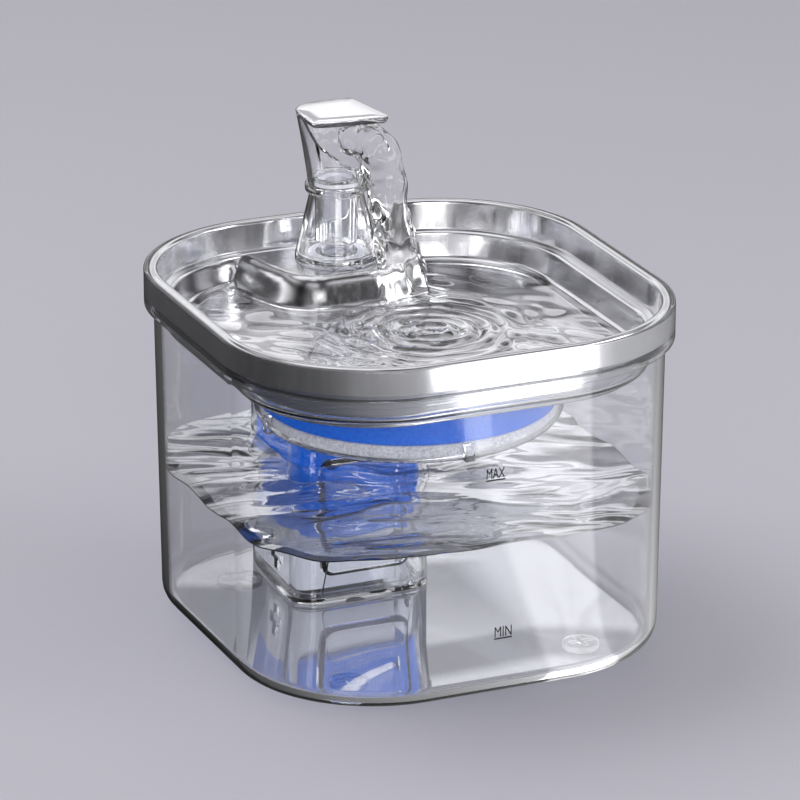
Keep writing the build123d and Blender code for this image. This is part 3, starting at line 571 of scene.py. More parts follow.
def makeFilterTray():
    f, t = filterTray, tray
    outline = planOutline(24, 10)
    inner, outer = f["gap"], f["gap"] + f["wall"]
    top, low = t["floor"] - inner, t["floor"] - outer
    cup, cupFloor = f["cupWall"], f["cupBottom"] + f["cupWall"]
    inside = cupProfile(f["cupRadius"] - cup, top, cupFloor, 0.7, f["cupEdge"] - cup)
    outside = cupProfile(f["cupRadius"], low, f["cupBottom"], 1.2, f["cupEdge"])
    rows = [
        circleRings(outline, outside)[::-1], ringStack(outline, dishProfile(outer, f["flangeLow"]))[::-1],
        ringStack(outline, [(f["flangeInset"], f["flangeLow"]), (f["flangeInset"], f["flangeTop"])]),
        ringStack(outline, dishProfile(inner, f["flangeTop"])), circleRings(outline, inside),
    ]
    piece = gridPiece("filterDish", np.concatenate(rows))
    reach, half = f["cupRadius"] - cup / 2, f["ribWidth"] / 2
    ribLow, ribHigh = cupFloor - cup / 2, cupFloor + f["ribHeight"]
    ribStart = f["cupRadius"] - cup - f["ribDepth"]
    ribs = [(ribStart, reach, -half, half, ribLow, ribHigh, math.pi / 2 * number) for number in range(f["ribs"])]
    wide, high = f["chimney"] + f["chimneyWall"], top + f["chimneyHeight"]
    tube = [(f["chimney"] - 1, low), (wide, low), (wide, high), (f["chimney"] - 1, high)]
    chimney = gridPiece("chimney", latheStack(tube, (0, t["holeY"]), 48), loop=True)
    joinPieces(piece, [barPiece(ribs, "rib"), chimney])
    start, end = f["slotRadius"] - f["slotLength"] / 2, f["slotRadius"] + f["slotLength"] / 2
    half = f["slotWidth"] / 2
    turns = 2 * math.pi * np.arange(f["slots"]) / f["slots"]
    slots = [(start, end, -half, half, f["cupBottom"] - 1, f["cupBottom"] + 3, turn) for turn in turns]
    half = tank["slotWidth"] / 2
    notch = boxCutter(
        (tank["slotX"] - half, plan["halfY"] - t["poolInset"], t["pool"]),
        (tank["slotX"] + half, plan["halfY"], f["flangeTop"] + 1))
    cutOut(piece, [barPiece(slots), roundCutter(0, t["holeY"], f["chimney"], low - 2, high + 5), notch])
    keepCrisp(piece, 45)
    return finish(piece, clearInner, "filter_unit", "clear_inner", "filter_tray")


cartridge = {
    "radius": 55.0, "cottonLow": 83.95, "cottonHigh": 90.15, "cottonEdge": 5.2, "foamHigh": 100.55,
    "coverLow": 100.65, "coverHigh": 101.75, "fuzz": 0.12, "steps": 288,
    "under": (1.0, 12.0, 24.0, 36.0, 44.0), "over": (46.0, 1.0),  # radii of the rings on the pouch's flat sides
    "notches": 4, "notchHalf": 2.4, "notchDepth": 3.4, "notchStart": 8.0, "notchFade": 6.0,
}


# soft unevenness: a sum of seeded plane waves, between about -1 and 1
def unevenness(points, seed, shortest, longest, count=24):
    random = np.random.default_rng(seed)
    heading = random.normal(size=(count, 3))
    heading /= np.linalg.norm(heading, axis=1)[:, None]
    length = random.uniform(shortest, longest, count)
    phase = random.uniform(0, 2 * math.pi, count)
    waves = np.sin(points @ (heading / length[:, None]).T * 2 * math.pi + phase)
    return np.clip(waves.sum(axis=-1) / math.sqrt(count) * 0.7, -1, 1)


# pushes points in towards a middle by up to the fuzz, unevenly
def roughen(grid, middle, seed, longest, fuzz):
    away = grid - middle
    grid -= unevenness(grid, seed, 2.0, longest)[..., None] * fuzz * away / np.linalg.norm(away, axis=-1)[..., None]


# a round pad: profile rings with notches pressed into the rim; radius shrinks by a bell curve across each notch
def padPiece(name, profile, notchDepth, seed):
    c = cartridge
    grid = latheStack(profile, (0, 0), c["steps"])
    turn = np.linspace(0, 2 * math.pi, c["steps"], endpoint=False)
    pitch = 2 * math.pi / c["notches"]
    across = ((turn + pitch / 2) % pitch - pitch / 2) * c["radius"]
    press = notchDepth * np.exp(-(across / c["notchHalf"]) ** 6)
    reach = np.hypot(grid[..., 0], grid[..., 1])
    rim = np.clip((reach - c["radius"] + c["notchStart"]) / c["notchFade"], 0, 1)
    shrink = 1 - press[None] * rim / np.maximum(reach, 1)
    grid[..., :2] *= shrink[..., None]
    roughen(grid, grid.mean(axis=(0, 1)), seed, 7.0, c["fuzz"])
    return gridPiece(name, grid, sharp=60)


def makeCartridge():
    c = cartridge
    r, f = c["radius"] - c["fuzz"], c["fuzz"]
    low, high = c["cottonLow"] + f, c["cottonHigh"] - f
    under, over = [(radius, low) for radius in c["under"]], [(radius, high) for radius in c["over"]]
    cotton = roundedProfile([under[-1], (r, low), (r, high), over[0]], [c["cottonEdge"], 0.9], 7)
    pad = padPiece("cottonPad", np.vstack([under[:-1], cotton, over[1:]]), c["notchDepth"], 3)
    finish(pad, whiteCotton, "filter_unit", "white_cotton", "filter_cotton")
    low, high = c["cottonHigh"] + f, c["foamHigh"] - f
    foam = roundedProfile([(1.0, low), (r, low), (r, high), (1.0, high)], [0.5, 0.5], 3)
    side = np.linspace(foam[4, 1], foam[5, 1], 8)[1:-1]
    foam = np.vstack([foam[:5], [(r, z) for z in side], foam[5:]])
    disc = padPiece("foamDisc", foam, 0.0, 5)
    finish(disc, blueFoam, "filter_unit", "blue_foam", "filter_foam")
    low, high = c["coverLow"] + f, c["coverHigh"] - f
    cover = roundedProfile([(1.0, low), (r, low), (r, high), (1.0, high)], [0.4, 0.45], 3)
    sheet = padPiece("coverSheet", cover, 0.0, 8)
    finish(sheet, whiteCotton, "filter_unit", "white_cotton", "filter_cover")
    paintTop(sheet, coverTop)


makeFilterTray()
makeCartridge()
print("stage: filter tray and cartridge")

box = {
    "halfX": 28.5, "halfY": 30.25, "radius": 10.0, "middle": (-10.0, 45.75), "bottom": 7.2, "top": 77.4, "wall": 1.8,
    "topEdge": 2.2, "hatchHalf": 16.5, "hatchLow": 17.0, "hatchHigh": 60.4, "hatchCorner": 3.0,
    "portY": 39.0, "portZ": 17.8, "portLength": 11.0, "portBar": 3.6,
    "glandX": -16.0, "glandZ": 60.4, "glandRadius": 3.0, "riserY": 67.5, "riserHole": 7.0,
}


# a straight cutter along Y whose outline is a rounded rectangle
def hatchCutter():
    b = box
    low, high = b["hatchLow"], b["hatchHigh"]
    middle = (b["middle"][0], (high + low) / 2)
    plate = outlineFrame(b["hatchHalf"], (high - low) / 2, b["hatchCorner"], 8, 2, middle)
    edge = plate["centres"] + plate["radius"] * plate["normals"]
    near = b["middle"][1] - b["halfY"]
    grid = np.array([[(x, y, z) for x, z in edge] for y in (near - 2, near + 2.5)])
    return gridPiece("cutter", grid)


def rodCutter(x, z, radius, near, far):
    turn = np.linspace(0, 2 * math.pi, 48, endpoint=False)
    grid = np.array([[(x + radius * math.cos(a), y, z + radius * math.sin(a)) for a in turn] for y in (near, far)])
    return gridPiece("cutter", grid)


def makePumpBox():
    b = box
    outline = outlineFrame(b["halfX"], b["halfY"], b["radius"], 12, 3, b["middle"])
    deep, w = b["radius"] - 0.5, b["wall"]
    air = tank["air"]
    bottom = b["bottom"] + air
    points = [(deep, b["top"]), (air, b["top"]), (air, bottom), (w, bottom), (w, b["top"] - w), (deep, b["top"] - w)]
    profile = roundedProfile(points, [b["topEdge"], 0.3, 0.3, 0.8], 5)
    shell = gridPiece("pumpCase", ringStack(outline, profile))
    cutters = [hatchCutter(), roundCutter(0, b["riserY"], b["riserHole"], b["top"] - 6, b["top"] + 3)]
    rear = b["middle"][1] + b["halfY"]
    cutters.append(rodCutter(b["glandX"], b["glandZ"], b["glandRadius"], rear - 4, rear + 2))
    for side in (-1, 1):
        x = b["middle"][0] + side * b["halfX"]
        y, z, long, thin = b["portY"], b["portZ"], b["portLength"] / 2, b["portBar"] / 2
        for halfY, halfZ in ((long, thin), (thin, long)):
            cutters.append(boxCutter((x - 3, y - halfY, z - halfZ), (x + 3, y + halfY, z + halfZ)))
    cutOut(shell, cutters)
    keepCrisp(shell, 40)
    return finish(shell, clearInner, "root", "clear_inner", "pump_box")


sponge = {
    "inset": 3.75, "low": 26.9, "ceiling": 32.2, "lipFar": 22.3, "high": 75.35, "edge": 1.2, "hole": 6.7,
    "fuzz": 0.12, "middleHeight": 51.0,
}


def makeSponge():
    s, b = sponge, box
    radius = b["radius"] - s["inset"]
    outline = outlineFrame(b["halfX"] - s["inset"], b["halfY"] - s["inset"], radius, 12, 28, b["middle"])
    deep = radius - 0.5
    points = [(deep, s["low"]), (0.15, s["low"]), (0.15, s["high"]), (deep, s["high"])]
    profile = roundedProfile(points, [s["edge"], s["edge"]], 4)
    middle = np.linspace(profile[5], profile[6], 26)[1:-1]
    profile = np.vstack([profile[:6], middle, profile[6:]])
    grid = ringStack(outline, profile)
    roughen(grid, np.array([*b["middle"], s["middleHeight"]]), 11, 6.0, s["fuzz"])
    block = gridPiece("pumpSponge", grid)
    under = boxCutter((-60, s["lipFar"], s["low"] - 5), (60, 100, s["ceiling"]))
    cutOut(block, [under, roundCutter(0, b["riserY"], s["hole"], s["low"], s["high"] + 5)])
    keepCrisp(block, 50)
    finish(block, blueFoam, "root", "blue_foam", "pump_sponge")


makePumpBox()
makeSponge()
print("stage: pump box")

spout = {
    "y": 67.5, "bore": 4.9, "riser": 6.5, "riserLow": 33.4, "riserTop": 151.4,
    "foot": 15.5, "bead": 0.4, "skirtTop": 149.4, "skirtRadius": 10.0, "low": 123.8, "wall": 1.6,
    "guide": 6.6, "neck": 8.1,
    "guideLow": 129.4, "spigotLow": 120.8, "neckTop": 155.4, "grooveLow": 152.6, "grooveHigh": 154.0, "groove": 7.5,
    "lugInner": 8.6, "lugOuter": 9.5, "lugHeight": 1.3, "lugHalf": 6.0,
}


# part of a ring about the spout's axis, between two radii, two heights and two headings in degrees
def sectorPiece(name, inner, outer, low, high, start, end, steps=40):
    turn = np.radians(np.linspace(start, end, steps))[:, None]
    section = np.array([(inner, low), (outer, low), (outer, high), (inner, high)])
    x, y = section[None, :, 0] * np.cos(turn), section[None, :, 0] * np.sin(turn) + spout["y"]
    grid = np.stack([x, y, np.broadcast_to(section[None, :, 1], x.shape)], axis=-1)
    return gridPiece(name, grid)


def makeRiser():
    s = spout
    bore, riser, low, top = s["bore"], s["riser"], s["riserLow"], s["riserTop"]
    profile = [(bore, low), (riser, low), (riser, top - 0.3), (riser - 0.3, top), (bore, top)]
    tube = gridPiece("riserPipe", latheStack(profile, (0, s["y"]), 64), loop=True, sharp=40)
    finish(tube, clearInner, "root", "clear_inner", "riser_tube")


def makeSpoutBase():
    s = spout
    w, low, foot, guide, neck, top = s["wall"], s["low"], s["foot"], s["guide"], s["neck"], s["skirtTop"]
    points = [
        (guide, low), (guide, s["spigotLow"]), (neck, s["spigotLow"]), (neck, low), (foot + s["bead"], low),
        (foot + s["bead"], low + 1.0), (foot, low + 2.0), (s["skirtRadius"], top), (neck, top),
        (neck, s["grooveLow"]), (s["groove"], s["grooveLow"]), (s["groove"], s["grooveHigh"]),
        (neck, s["grooveHigh"]), (neck, s["neckTop"]), (guide, s["neckTop"]), (guide, s["guideLow"]),
        (neck, s["guideLow"]), (neck, top - w), (s["skirtRadius"] - w, top - w), (foot - w, low + w),
        (guide, low + w), (guide, low + 0.8),
    ]
    radii = [0, 0.3, 0.3, 0.4, 0.4, 0.6, 0.9, 0.3, 0, 0, 0, 0, 0.3, 0.3, 0.3, 0.3, 0.1, 0.1, 0.8, 0.2]
    grid = latheStack(roundedProfile(points, radii, 4), (0, s["y"]), 96)
    base = gridPiece("spoutSkirt", grid, loop=True)
    half = s["lugHalf"]
    lug = sectorPiece("lug", s["lugInner"], s["lugOuter"], top - 0.3, top + s["lugHeight"], -90 - half, -90 + half, 6)
    joinPieces(base, [lug])
    keepCrisp(base, 35)
    finish(base, clearSpout, "spout_stand", "clear_spout", "spout_base")


head = {
    "heading": -45.0, "beadRadius": 11.9, "beadHeight": 3.2, "neckRadius": 10.8, "top": 180.7, "wall": 1.8,
    "front": 23.3, "back": 20.0, "side": 18.5, "sideBack": 1.2, "frontRadius": 3.0, "backRadius": 10.0,
    "sideRadius": 3.0, "lid": 2.4, "lidEdge": 0.9, "mouthBack": 9.5, "lip": 157.0, "lipReach": 12.0,
    "socketTop": 156.0, "socket": 8.2, "flare": 1.15, "steps": 160, "grooveHalf": 67.0,
}


# the lid's kite as a radius for each heading, after its edge is moved in by inset
def kiteRadius(turn, inset):
    h = head
    corners = [(h["front"], 0), (-h["sideBack"], h["side"]), (-h["back"], 0), (-h["sideBack"], -h["side"])]
    ring = [corners[3], *corners, corners[0], corners[1]]
    radii = [h["frontRadius"], h["sideRadius"], h["backRadius"], h["sideRadius"], h["frontRadius"]]
    edge = roundedProfile(ring, radii, 8)[1:-1]
    along = np.gradient(edge, axis=0)
    along /= np.linalg.norm(along, axis=1)[:, None]
    edge = edge - inset * np.stack([along[:, 1], -along[:, 0]], axis=1)
    run = np.concatenate([[0], np.cumsum(np.linalg.norm(np.diff(edge, axis=0), axis=1))])
    even = np.linspace(0, run[-1], 1600)
    x, y = np.interp(even, run, edge[:, 0]), np.interp(even, run, edge[:, 1])
    around = np.arctan2(y, x)
    order = np.argsort(around)
    return np.interp(turn, around[order], np.hypot(x, y)[order], period=2 * math.pi)


def headTurn():
    return np.linspace(-math.pi, math.pi, head["steps"], endpoint=False)


# the head's body: each ring blends a circle into the kite as it rises, slower at first where flare is above 1
def headRings(inset, low, high, heights):
    turn = headTurn()
    rise = np.clip((np.asarray(heights) - low) / (high - low), 0, 1)[:, None] ** head["flare"]
    reach = (head["neckRadius"] - inset) * (1 - rise) + kiteRadius(turn, inset)[None] * rise
    x, y = reach * np.cos(turn), reach * np.sin(turn)
    return np.stack([x, y, np.broadcast_to(np.asarray(heights)[:, None], x.shape)], axis=-1)


def toHead(points):
    a = math.radians(head["heading"])
    turned = points @ np.array([(math.cos(a), math.sin(a), 0), (-math.sin(a), math.cos(a), 0), (0, 0, 1)])
    return turned + np.array([0, spout["y"], 0])


def makeSpoutHead():
    h, s = head, spout
    bottom, top = s["skirtTop"], h["top"]
    low, wide = bottom + h["beadHeight"], h["beadRadius"]
    bead = roundedProfile([(2.0, bottom), (wide, bottom), (wide, low), (h["neckRadius"], low)], [0.9, 0.9], 5)[:-1]
    turn = headTurn()
    beadRings = np.stack([bead[:, :1] * np.cos(turn), bead[:, :1] * np.sin(turn), bead[:, 1:] + 0 * turn], axis=-1)
    edge = h["lidEdge"]
    body = headRings(0, low, top, np.linspace(low, top - edge, 28))
    bevel = np.linspace(0, math.pi / 2, 6)[1:]
    crown = [headRings(edge * (1 - math.cos(a)), low, top, [top]) for a in bevel]
    for ring, a in zip(crown, bevel):
        ring[..., 2] = top - edge + edge * math.sin(a)
    lidPlate = [crown[-1] * np.array([k, k, 1]) for k in (0.6, 0.2)]
    shell = gridPiece("spoutTap", toHead(np.concatenate([beadRings, body, *crown, *lidPlate])))
    underLid, socketTop = top - h["lid"], h["socketTop"]
    inner = headRings(h["wall"], socketTop, underLid, np.linspace(socketTop - 0.5, underLid, 24))
    hollow = gridPiece("cutter", toHead(inner))
    near, far = -h["mouthBack"], h["lipReach"] + h["front"]
    fall = (underLid - h["lip"]) / (h["lipReach"] - near)
    side = [(near, underLid), (near, underLid - 0.01), (far, underLid - fall * (far - near)), (far, underLid)]
    mouth = gridPiece("cutter", toHead(np.array([[(u, w, z) for u, z in side] for w in (-40.0, 40.0)])))
    socket = roundCutter(0, s["y"], h["socket"], bottom - 1, socketTop, 64)
    groove = sectorPiece(
        "cutter", s["lugInner"] - 0.2, s["lugOuter"] + 0.2, bottom - 0.5, bottom + s["lugHeight"] + 0.2,
        h["heading"] - h["grooveHalf"], h["heading"] + h["grooveHalf"])
    cutOut(shell, [hollow, mouth, socket, groove])
    keepCrisp(shell, 38)
    finish(shell, clearSpout, "spout_top", "clear_spout", "spout_head")
    paintTop(shell, lidTop, (h["top"] - 4.7, h["top"] + 1))


makeRiser()
makeSpoutBase()
makeSpoutHead()
print("stage: spout")

stream = {
    "path": [
        (1.0, 64.5, 166.0), (4.0, 61.0, 169.3), (8.5, 57.0, 169.6), (12.0, 54.0, 165.4), (14.0, 52.6, 157.0),
        (14.3, 49.5, 146.0), (14.3, 45.0, 134.0), (14.6, 40.0, 123.0), (15.2, 36.0, 113.9),
    ],
    "radii": [3.5, 6.2, 8.2, 8.6, 8.0, 7.4, 7.0, 7.0, 9.0], "knotGap": 8.0,
    "ripple": 0.8, "rippleLengths": (3.6, 13.0),
    "tip": 0.7,  # its top closes over this many knots
    "facing": (0.75, 0.66, 0.0),  # its section is laid out square to this
    # lobes round the section: height, number and twist on the way down
    "braid": ((0.13, 2, 1.8 * math.pi), (0.06, 3, -9.0), (0.035, 5, 14.0)),
}


# the falling water: an oval section carried along a smooth route, its waist twisting as it falls
def makeStream():
    w = stream
    knots, radii = np.array(w["path"]), np.array(w["radii"])
    at = np.linspace(0, len(knots) - 1, 110)
    route = smoothRoute(knots, at)
    reach = smoothRoute(radii[:, None], at)[:, 0]
    along = np.gradient(route, axis=0)
    along /= np.linalg.norm(along, axis=1)[:, None]
    side = np.cross(along, np.array(w["facing"]))
    side /= np.linalg.norm(side, axis=1)[:, None]
    other = np.cross(side, along)
    turn = np.linspace(0, 2 * math.pi, 72, endpoint=False)[None]
    fall = np.linspace(0, 1, len(at))[:, None]
    start = np.sqrt(np.clip(at / w["tip"], 0, 1))[:, None]
    wave = 1 + sum(height * np.cos(number * turn + twist * fall) for height, number, twist in w["braid"])
    x, y = reach[:, None] * np.cos(turn), reach[:, None] * np.sin(turn)
    unrolled = np.stack([x, y, np.repeat(at[:, None] * w["knotGap"], turn.size, axis=1)], axis=-1)
    size = start * (reach[:, None] * wave + w["ripple"] * unevenness(unrolled, 17, *w["rippleLengths"], 36))
    across = np.cos(turn)[..., None] * side[:, None] + np.sin(turn)[..., None] * other[:, None]
    grid = route[:, None] + size[..., None] * across
    piece = gridPiece("fallingWater", grid)
    finish(piece, waterClear, "spout_top")


# smooth curve through points: each coordinate by a cubic with the slopes of its neighbours
def smoothRoute(knots, at):
    slope = np.gradient(knots, axis=0)
    number = np.clip(at.astype(int), 0, len(knots) - 2)
    k = (at - number)[:, None]
    a, b, p, q = knots[number], knots[number + 1], slope[number], slope[number + 1]
    return a * (2 * k**3 - 3 * k**2 + 1) + p * (k**3 - 2 * k**2 + k) + b * (3 * k**2 - 2 * k**3) + q * (k**3 - k**2)


pool = {
    "level": 113.6, "clear": 0.15, "ring": (9.5, 0.6), "ringLength": 7.4, "ringHeight": 0.55, "ringReach": 34.0,
    "splash": (15.2, 36.0), "splashHeight": 0.8, "splashLength": 8.0, "splashReach": 9.0,
    "swell": 0.35, "swellLengths": (9.0, 30.0),
    "calm": 0.06, "middle": 0.012,  # share of the plan over which waves fade to the edge, and that of the last ring
    "seatEnd": 110.0,  # how far back the seat's opening in the pool runs
}


# ripples: cosine rings that fade outwards from two places, over a gentle uneven swell
def poolRipple(x, y):
    p = pool
    far = np.hypot(x - p["ring"][0], y - p["ring"][1])
    rings = p["ringHeight"] * np.cos(2 * math.pi * far / p["ringLength"]) * np.exp(-(far / p["ringReach"]) ** 4)
    near = np.hypot(x - p["splash"][0], y - p["splash"][1])
    splash = p["splashHeight"] * np.cos(2 * math.pi * near / p["splashLength"]) * np.exp(-near / p["splashReach"])
    flat = np.stack([x, y, np.zeros_like(x)], axis=-1)
    return rings + splash + p["swell"] * unevenness(flat, 21, *p["swellLengths"], 18)


# seat outline at a distance outside its plan; two rounded front corners, sides that run on past the back
def seatRings(profile):
    r = tray["seatCorner"]
    lean, centreX, front = seatShape()
    left = np.linspace(math.pi + lean, 1.5 * math.pi, 20)
    turn = np.concatenate([left[:1], left, 3 * math.pi - left[::-1], 3 * math.pi - left[:1]])
    end = pool["seatEnd"]
    far = centreX + (end - front) * math.tan(lean)
    centres = np.array([(-far, end), *[(-centreX, front)] * 20, *[(centreX, front)] * 20, (far, end)])
    outline = {"centres": centres, "normals": np.stack([np.cos(turn), np.sin(turn)], axis=1), "radius": r}
    return ringStack(outline, [(-distance, height) for distance, height in profile])


def makePool():
    p, t = pool, tray
    outline = planOutline(36, 24)
    wall = trayProfile()
    wall = wall[wall[:, 0] > t["stepInset"]]
    edge = np.interp(-p["level"], -wall[:, 1], wall[:, 0]) + p["clear"]
    rim = ringStack(outline, [(edge, p["level"])])
    shrink = np.linspace(1, p["middle"], 96)[:, None, None]
    top = rim * np.array([1, 1, 0]) * shrink + rim * np.array([0, 0, 1])
    fade = np.clip((1 - shrink[..., 0]) / p["calm"], 0, 1)
    top[..., 2] += poolRipple(top[..., 0], top[..., 1]) * fade
    wall = wall[wall[:, 1] < p["level"] - 0.4]
    low = ringStack(outline, wall + np.array([p["clear"], p["clear"]]))
    inward = np.array([0.6, 0.2, p["middle"]])[:, None, None]
    middle = low[-1:] * np.array([1, 1, 0]) * inward + low[-1:] * np.array([0, 0, 1])
    grid = np.concatenate([top[::-1], low, middle])
    piece = gridPiece("poolWater", grid)
    away = np.linspace(-t["bendStart"], t["seatBend"] - t["bendStart"], 14)
    flank = zip(away + p["clear"], seatHeight(away) + p["clear"])
    profile = [(-8.0, t["ledge"] + 3), *flank, (t["seatBend"] - 0.8, t["floor"] - 4)]
    cutOut(piece, [gridPiece("cutter", seatRings(profile))])
    keepCrisp(piece, 60)
    finish(piece, poolTop, "drinking_unit")


reservoir = {
    "level": 60.4, "depth": 1.6, "thin": 0.5, "inset": 0.35, "calm": 0.06, "middle": 0.012,
    "swell": 1.5, "swellLengths": (24.0, 60.0), "underside": 0.7,  # the underside's waves, as a share of the top's
    "chop": 0.28, "chopLengths": (11.0, 24.0), "heading": 0.4, "fan": 0.5,  # crests run this way, give or take the fan
    "patch": 0.6, "patchLengths": (40.0, 90.0), "bend": 0.6, "bendTurn": (0.07, 0.05),
}


# crests: plane waves folded so that their tops come to soft ridges, all running nearly the same way
def ridges(x, y, seed, shortest, longest, count=14):
    random = np.random.default_rng(seed)
    turn = reservoir["heading"] + random.uniform(-1, 1, count) * reservoir["fan"]
    length = random.uniform(shortest, longest, count)
    phase = random.uniform(0, 2 * math.pi, count)
    heading = np.stack([np.sin(turn), np.cos(turn)]) / length
    waves = np.stack([x, y], axis=-1) @ heading * 2 * math.pi + phase
    turnX, turnY = reservoir["bendTurn"]
    bend = reservoir["bend"] * np.sin(turnX * x + turnY * y + seed)
    mean = 1.27  # of a folded wave, taken off so that the level stays
    return (mean - np.abs(np.sin(waves / 2 + bend[..., None])) * 2).sum(axis=-1) / math.sqrt(count)


# a slow swell with short chop over it, which comes and goes from place to place
def openWater(x, y, seed):
    r = reservoir
    flat = np.stack([x, y, np.zeros_like(x)], axis=-1)
    patch = r["patch"] + r["patch"] * unevenness(flat, seed + 1, *r["patchLengths"], 10)
    swell = r["swell"] * unevenness(flat, seed, *r["swellLengths"], 14)
    return swell + r["chop"] * patch * ridges(x, y, seed + 2, *r["chopLengths"])


# the surface of the water in the tank: a thin uneven layer from wall to wall, open round the pump box
def makeReservoir():
    r, b = reservoir, box
    outline = planOutline(44, 40)
    inset = tankInset(r["level"]) + tank["wall"] + r["inset"]
    shrink = np.linspace(r["middle"], 1, 130)[:, None, None]
    flat = ringStack(outline, [(inset, 0.0)]) * shrink
    top, low = flat.copy(), flat[::-1].copy()
    top[..., 2] = r["level"] + openWater(flat[..., 0], flat[..., 1], 31)
    body = np.clip((1 - shrink[::-1, :, 0]) / r["calm"], 0, 1)
    depth = r["thin"] + body * (r["depth"] + r["underside"] * openWater(low[..., 0], low[..., 1], 37))
    low[..., 2] = top[::-1, :, 2] - np.maximum(depth, r["thin"])
    piece = gridPiece("tankWater", np.concatenate([top, low]))
    hole = outlineFrame(b["halfX"], b["halfY"], b["radius"], 12, 3, b["middle"])
    cutOut(piece, [gridPiece("cutter", ringStack(hole, [(-0.3, 30.0), (-0.3, 80.0)]))])
    keepCrisp(piece, 60)
    finish(piece, waterTop, "root")


makeStream()
makePool()
makeReservoir()
print("stage: water")

marks = {
    "depth": 0.12, "rise": 0.9, "lineThick": 0.5, "margin": 0.2, "air": 0.03,
    # word, left and right end of its line, height of the line and of the letters' tops
    "places": (("MAX", -7.4, 0.1, 86.8, 91.6), ("MIN", -3.5, 3.6, 25.2, 30.0)),
}


# a level mark on the front wall: the word over a line, standing a hair off the leaning wall
def makeMark(word, left, right, line, top):
    m = marks
    curve = bpy.data.curves.new(word, "FONT")
    curve.body = word
    letters = bpy.data.objects.new(word, curve)
    scene.collection.objects.link(letters)
    bpy.context.view_layer.update()
    mesh = bpy.data.meshes.new_from_object(letters.evaluated_get(bpy.context.evaluated_depsgraph_get()))
    bpy.data.objects.remove(letters)
    flat = np.zeros(len(mesh.vertices) * 3)
    mesh.vertices.foreach_get("co", flat)
    flat = flat.reshape(-1, 3)[:, :2]
    faces = [list(polygon.vertices) for polygon in mesh.polygons]
    bpy.data.meshes.remove(mesh)
    low, high = flat.min(axis=0), flat.max(axis=0)
    share = (flat - low) / (high - low)
    bottom = line + m["rise"]
    across = left + m["margin"] + share[:, 0] * (right - left - 2 * m["margin"])
    places = np.stack([across, bottom + share[:, 1] * (top - bottom)], axis=1)
    base = len(places)
    thick = m["lineThick"]
    places = np.vstack([places, [(left, line), (right, line), (right, line + thick), (left, line + thick)]])
    faces.append([base, base + 1, base + 2, base + 3])
    wall = -plan["halfY"] + tankInset(places[:, 1]) - m["air"]
    points = np.stack([places[:, 0], wall, places[:, 1]], axis=1)
    piece = newPiece("mark" + word.title(), points, faces, smooth=False)
    thicken = piece.modifiers.new("depth", "SOLIDIFY")
    thicken.thickness = m["depth"] * mm
    thicken.offset = 1.0
    finish(piece, blackPrint, "root")


for place in marks["places"]:
    makeMark(*place)
print("stage: level marks")

look = {
    "azimuth": -23.25, "elevation": 19.93, "distance": 1972.2, "lens": 239.7, "aimSide": -2.64, "aimHeight": 87.46,
}


def makeCamera():
    a, e = math.radians(look["azimuth"]), math.radians(look["elevation"])
    back = Vector((math.sin(a) * math.cos(e), -math.cos(a) * math.cos(e), math.sin(e)))
    right = Vector((math.cos(a), math.sin(a), 0))
    aim = right * look["aimSide"] * mm + Vector((0, 0, look["aimHeight"] * mm))
    data = bpy.data.cameras.new("camera")
    data.lens = look["lens"]
    data.sensor_width = 36.0
    data.clip_start = 0.05
    data.clip_end = 50.0
    camera = bpy.data.objects.new("camera", data)
    camera.location = aim + back * look["distance"] * mm
    camera.rotation_euler = (-back).to_track_quat("-Z", "Y").to_euler()
    scene.collection.objects.link(camera)
    scene.camera = camera


studio = {
    "floor": (0.34, 0.333, 0.368), "floorHalf": 6000.0, "soft": 0.7, "lampAim": (0, 0, 0.1),
    # each lamp's place in metres, its width, its power and whether polished surfaces mirror it
    "lamps": {
        "topLamp": ((-0.5, 0.5, 1.4), 1.0, 14, False), "rightLamp": ((1.2, -0.8, 0.9), 0.8, 10, True),
        "frontLamp": ((-0.4, -1.5, 0.7), 0.7, 9, True),
    },
    # glow painted on the floor that only shows in mirrored views, as painted reflection bands, by heading: (turn from
    # -X, brightness)
    "ring": [
        (0.0, 0.06), (0.10, 0.10), (0.20, 0.30), (0.265, 0.45), (0.29, 0.6), (0.2925, 2.7), (0.345, 2.7),
        (0.348, 0.8), (0.375, 0.7), (0.378, 0.6), (0.5, 0.5), (0.62, 0.25), (0.75, 0.1), (0.9, 0.05),
    ],
    # what they see above it: (sine of elevation, brightness)
    "sky": [
        (0.0, 0.05), (0.12, 0.1), (0.2, 0.8), (0.3, 1.25), (0.32, 0.5), (0.37, 0.5), (0.39, 1.4),
        (0.48, 1.2), (0.53, 0.12), (0.6, 0.05), (0.66, 0.5), (0.75, 0.65), (0.8, 0.1), (0.88, 1.2),
    ],
    "frontSky": [
        (0.0, 0.04), (0.14, 0.2), (0.22, 1.0), (0.32, 0.9), (0.38, 0.08), (0.55, 0.02),
        (0.62, 0.02), (0.68, 0.5), (0.76, 0.5), (0.82, 0.02), (0.9, 0.02), (0.95, 0.8),
    ],
    "frontEnds": (-0.35, 0.25),  # how far forward and back one sky fades into the other
    # both seen as upright panels with gaps between them, by heading
    "panels": [
        (0.0, 1.2), (0.05, 0.2), (0.1, 0.1), (0.14, 1.2), (0.2, 1.4), (0.225, 0.12), (0.27, 0.06),
        (0.3, 0.9), (0.36, 1.4), (0.39, 0.15), (0.46, 0.1), (0.5, 1.3), (0.58, 1.3), (0.61, 0.1),
        (0.7, 0.1), (0.74, 1.4), (0.82, 1.3), (0.85, 0.1), (0.93, 0.1), (0.96, 1.2),
    ],
    # and what shows through clear ones where they bend the view upwards
    "through": [
        (0.0, 0.35), (0.1, 0.3), (0.16, 1.5), (0.3, 1.4), (0.33, 0.04), (0.42, 0.03), (0.46, 1.3),
        (0.62, 1.1), (0.66, 0.05), (0.8, 0.08), (0.9, 1.6),
    ],
}


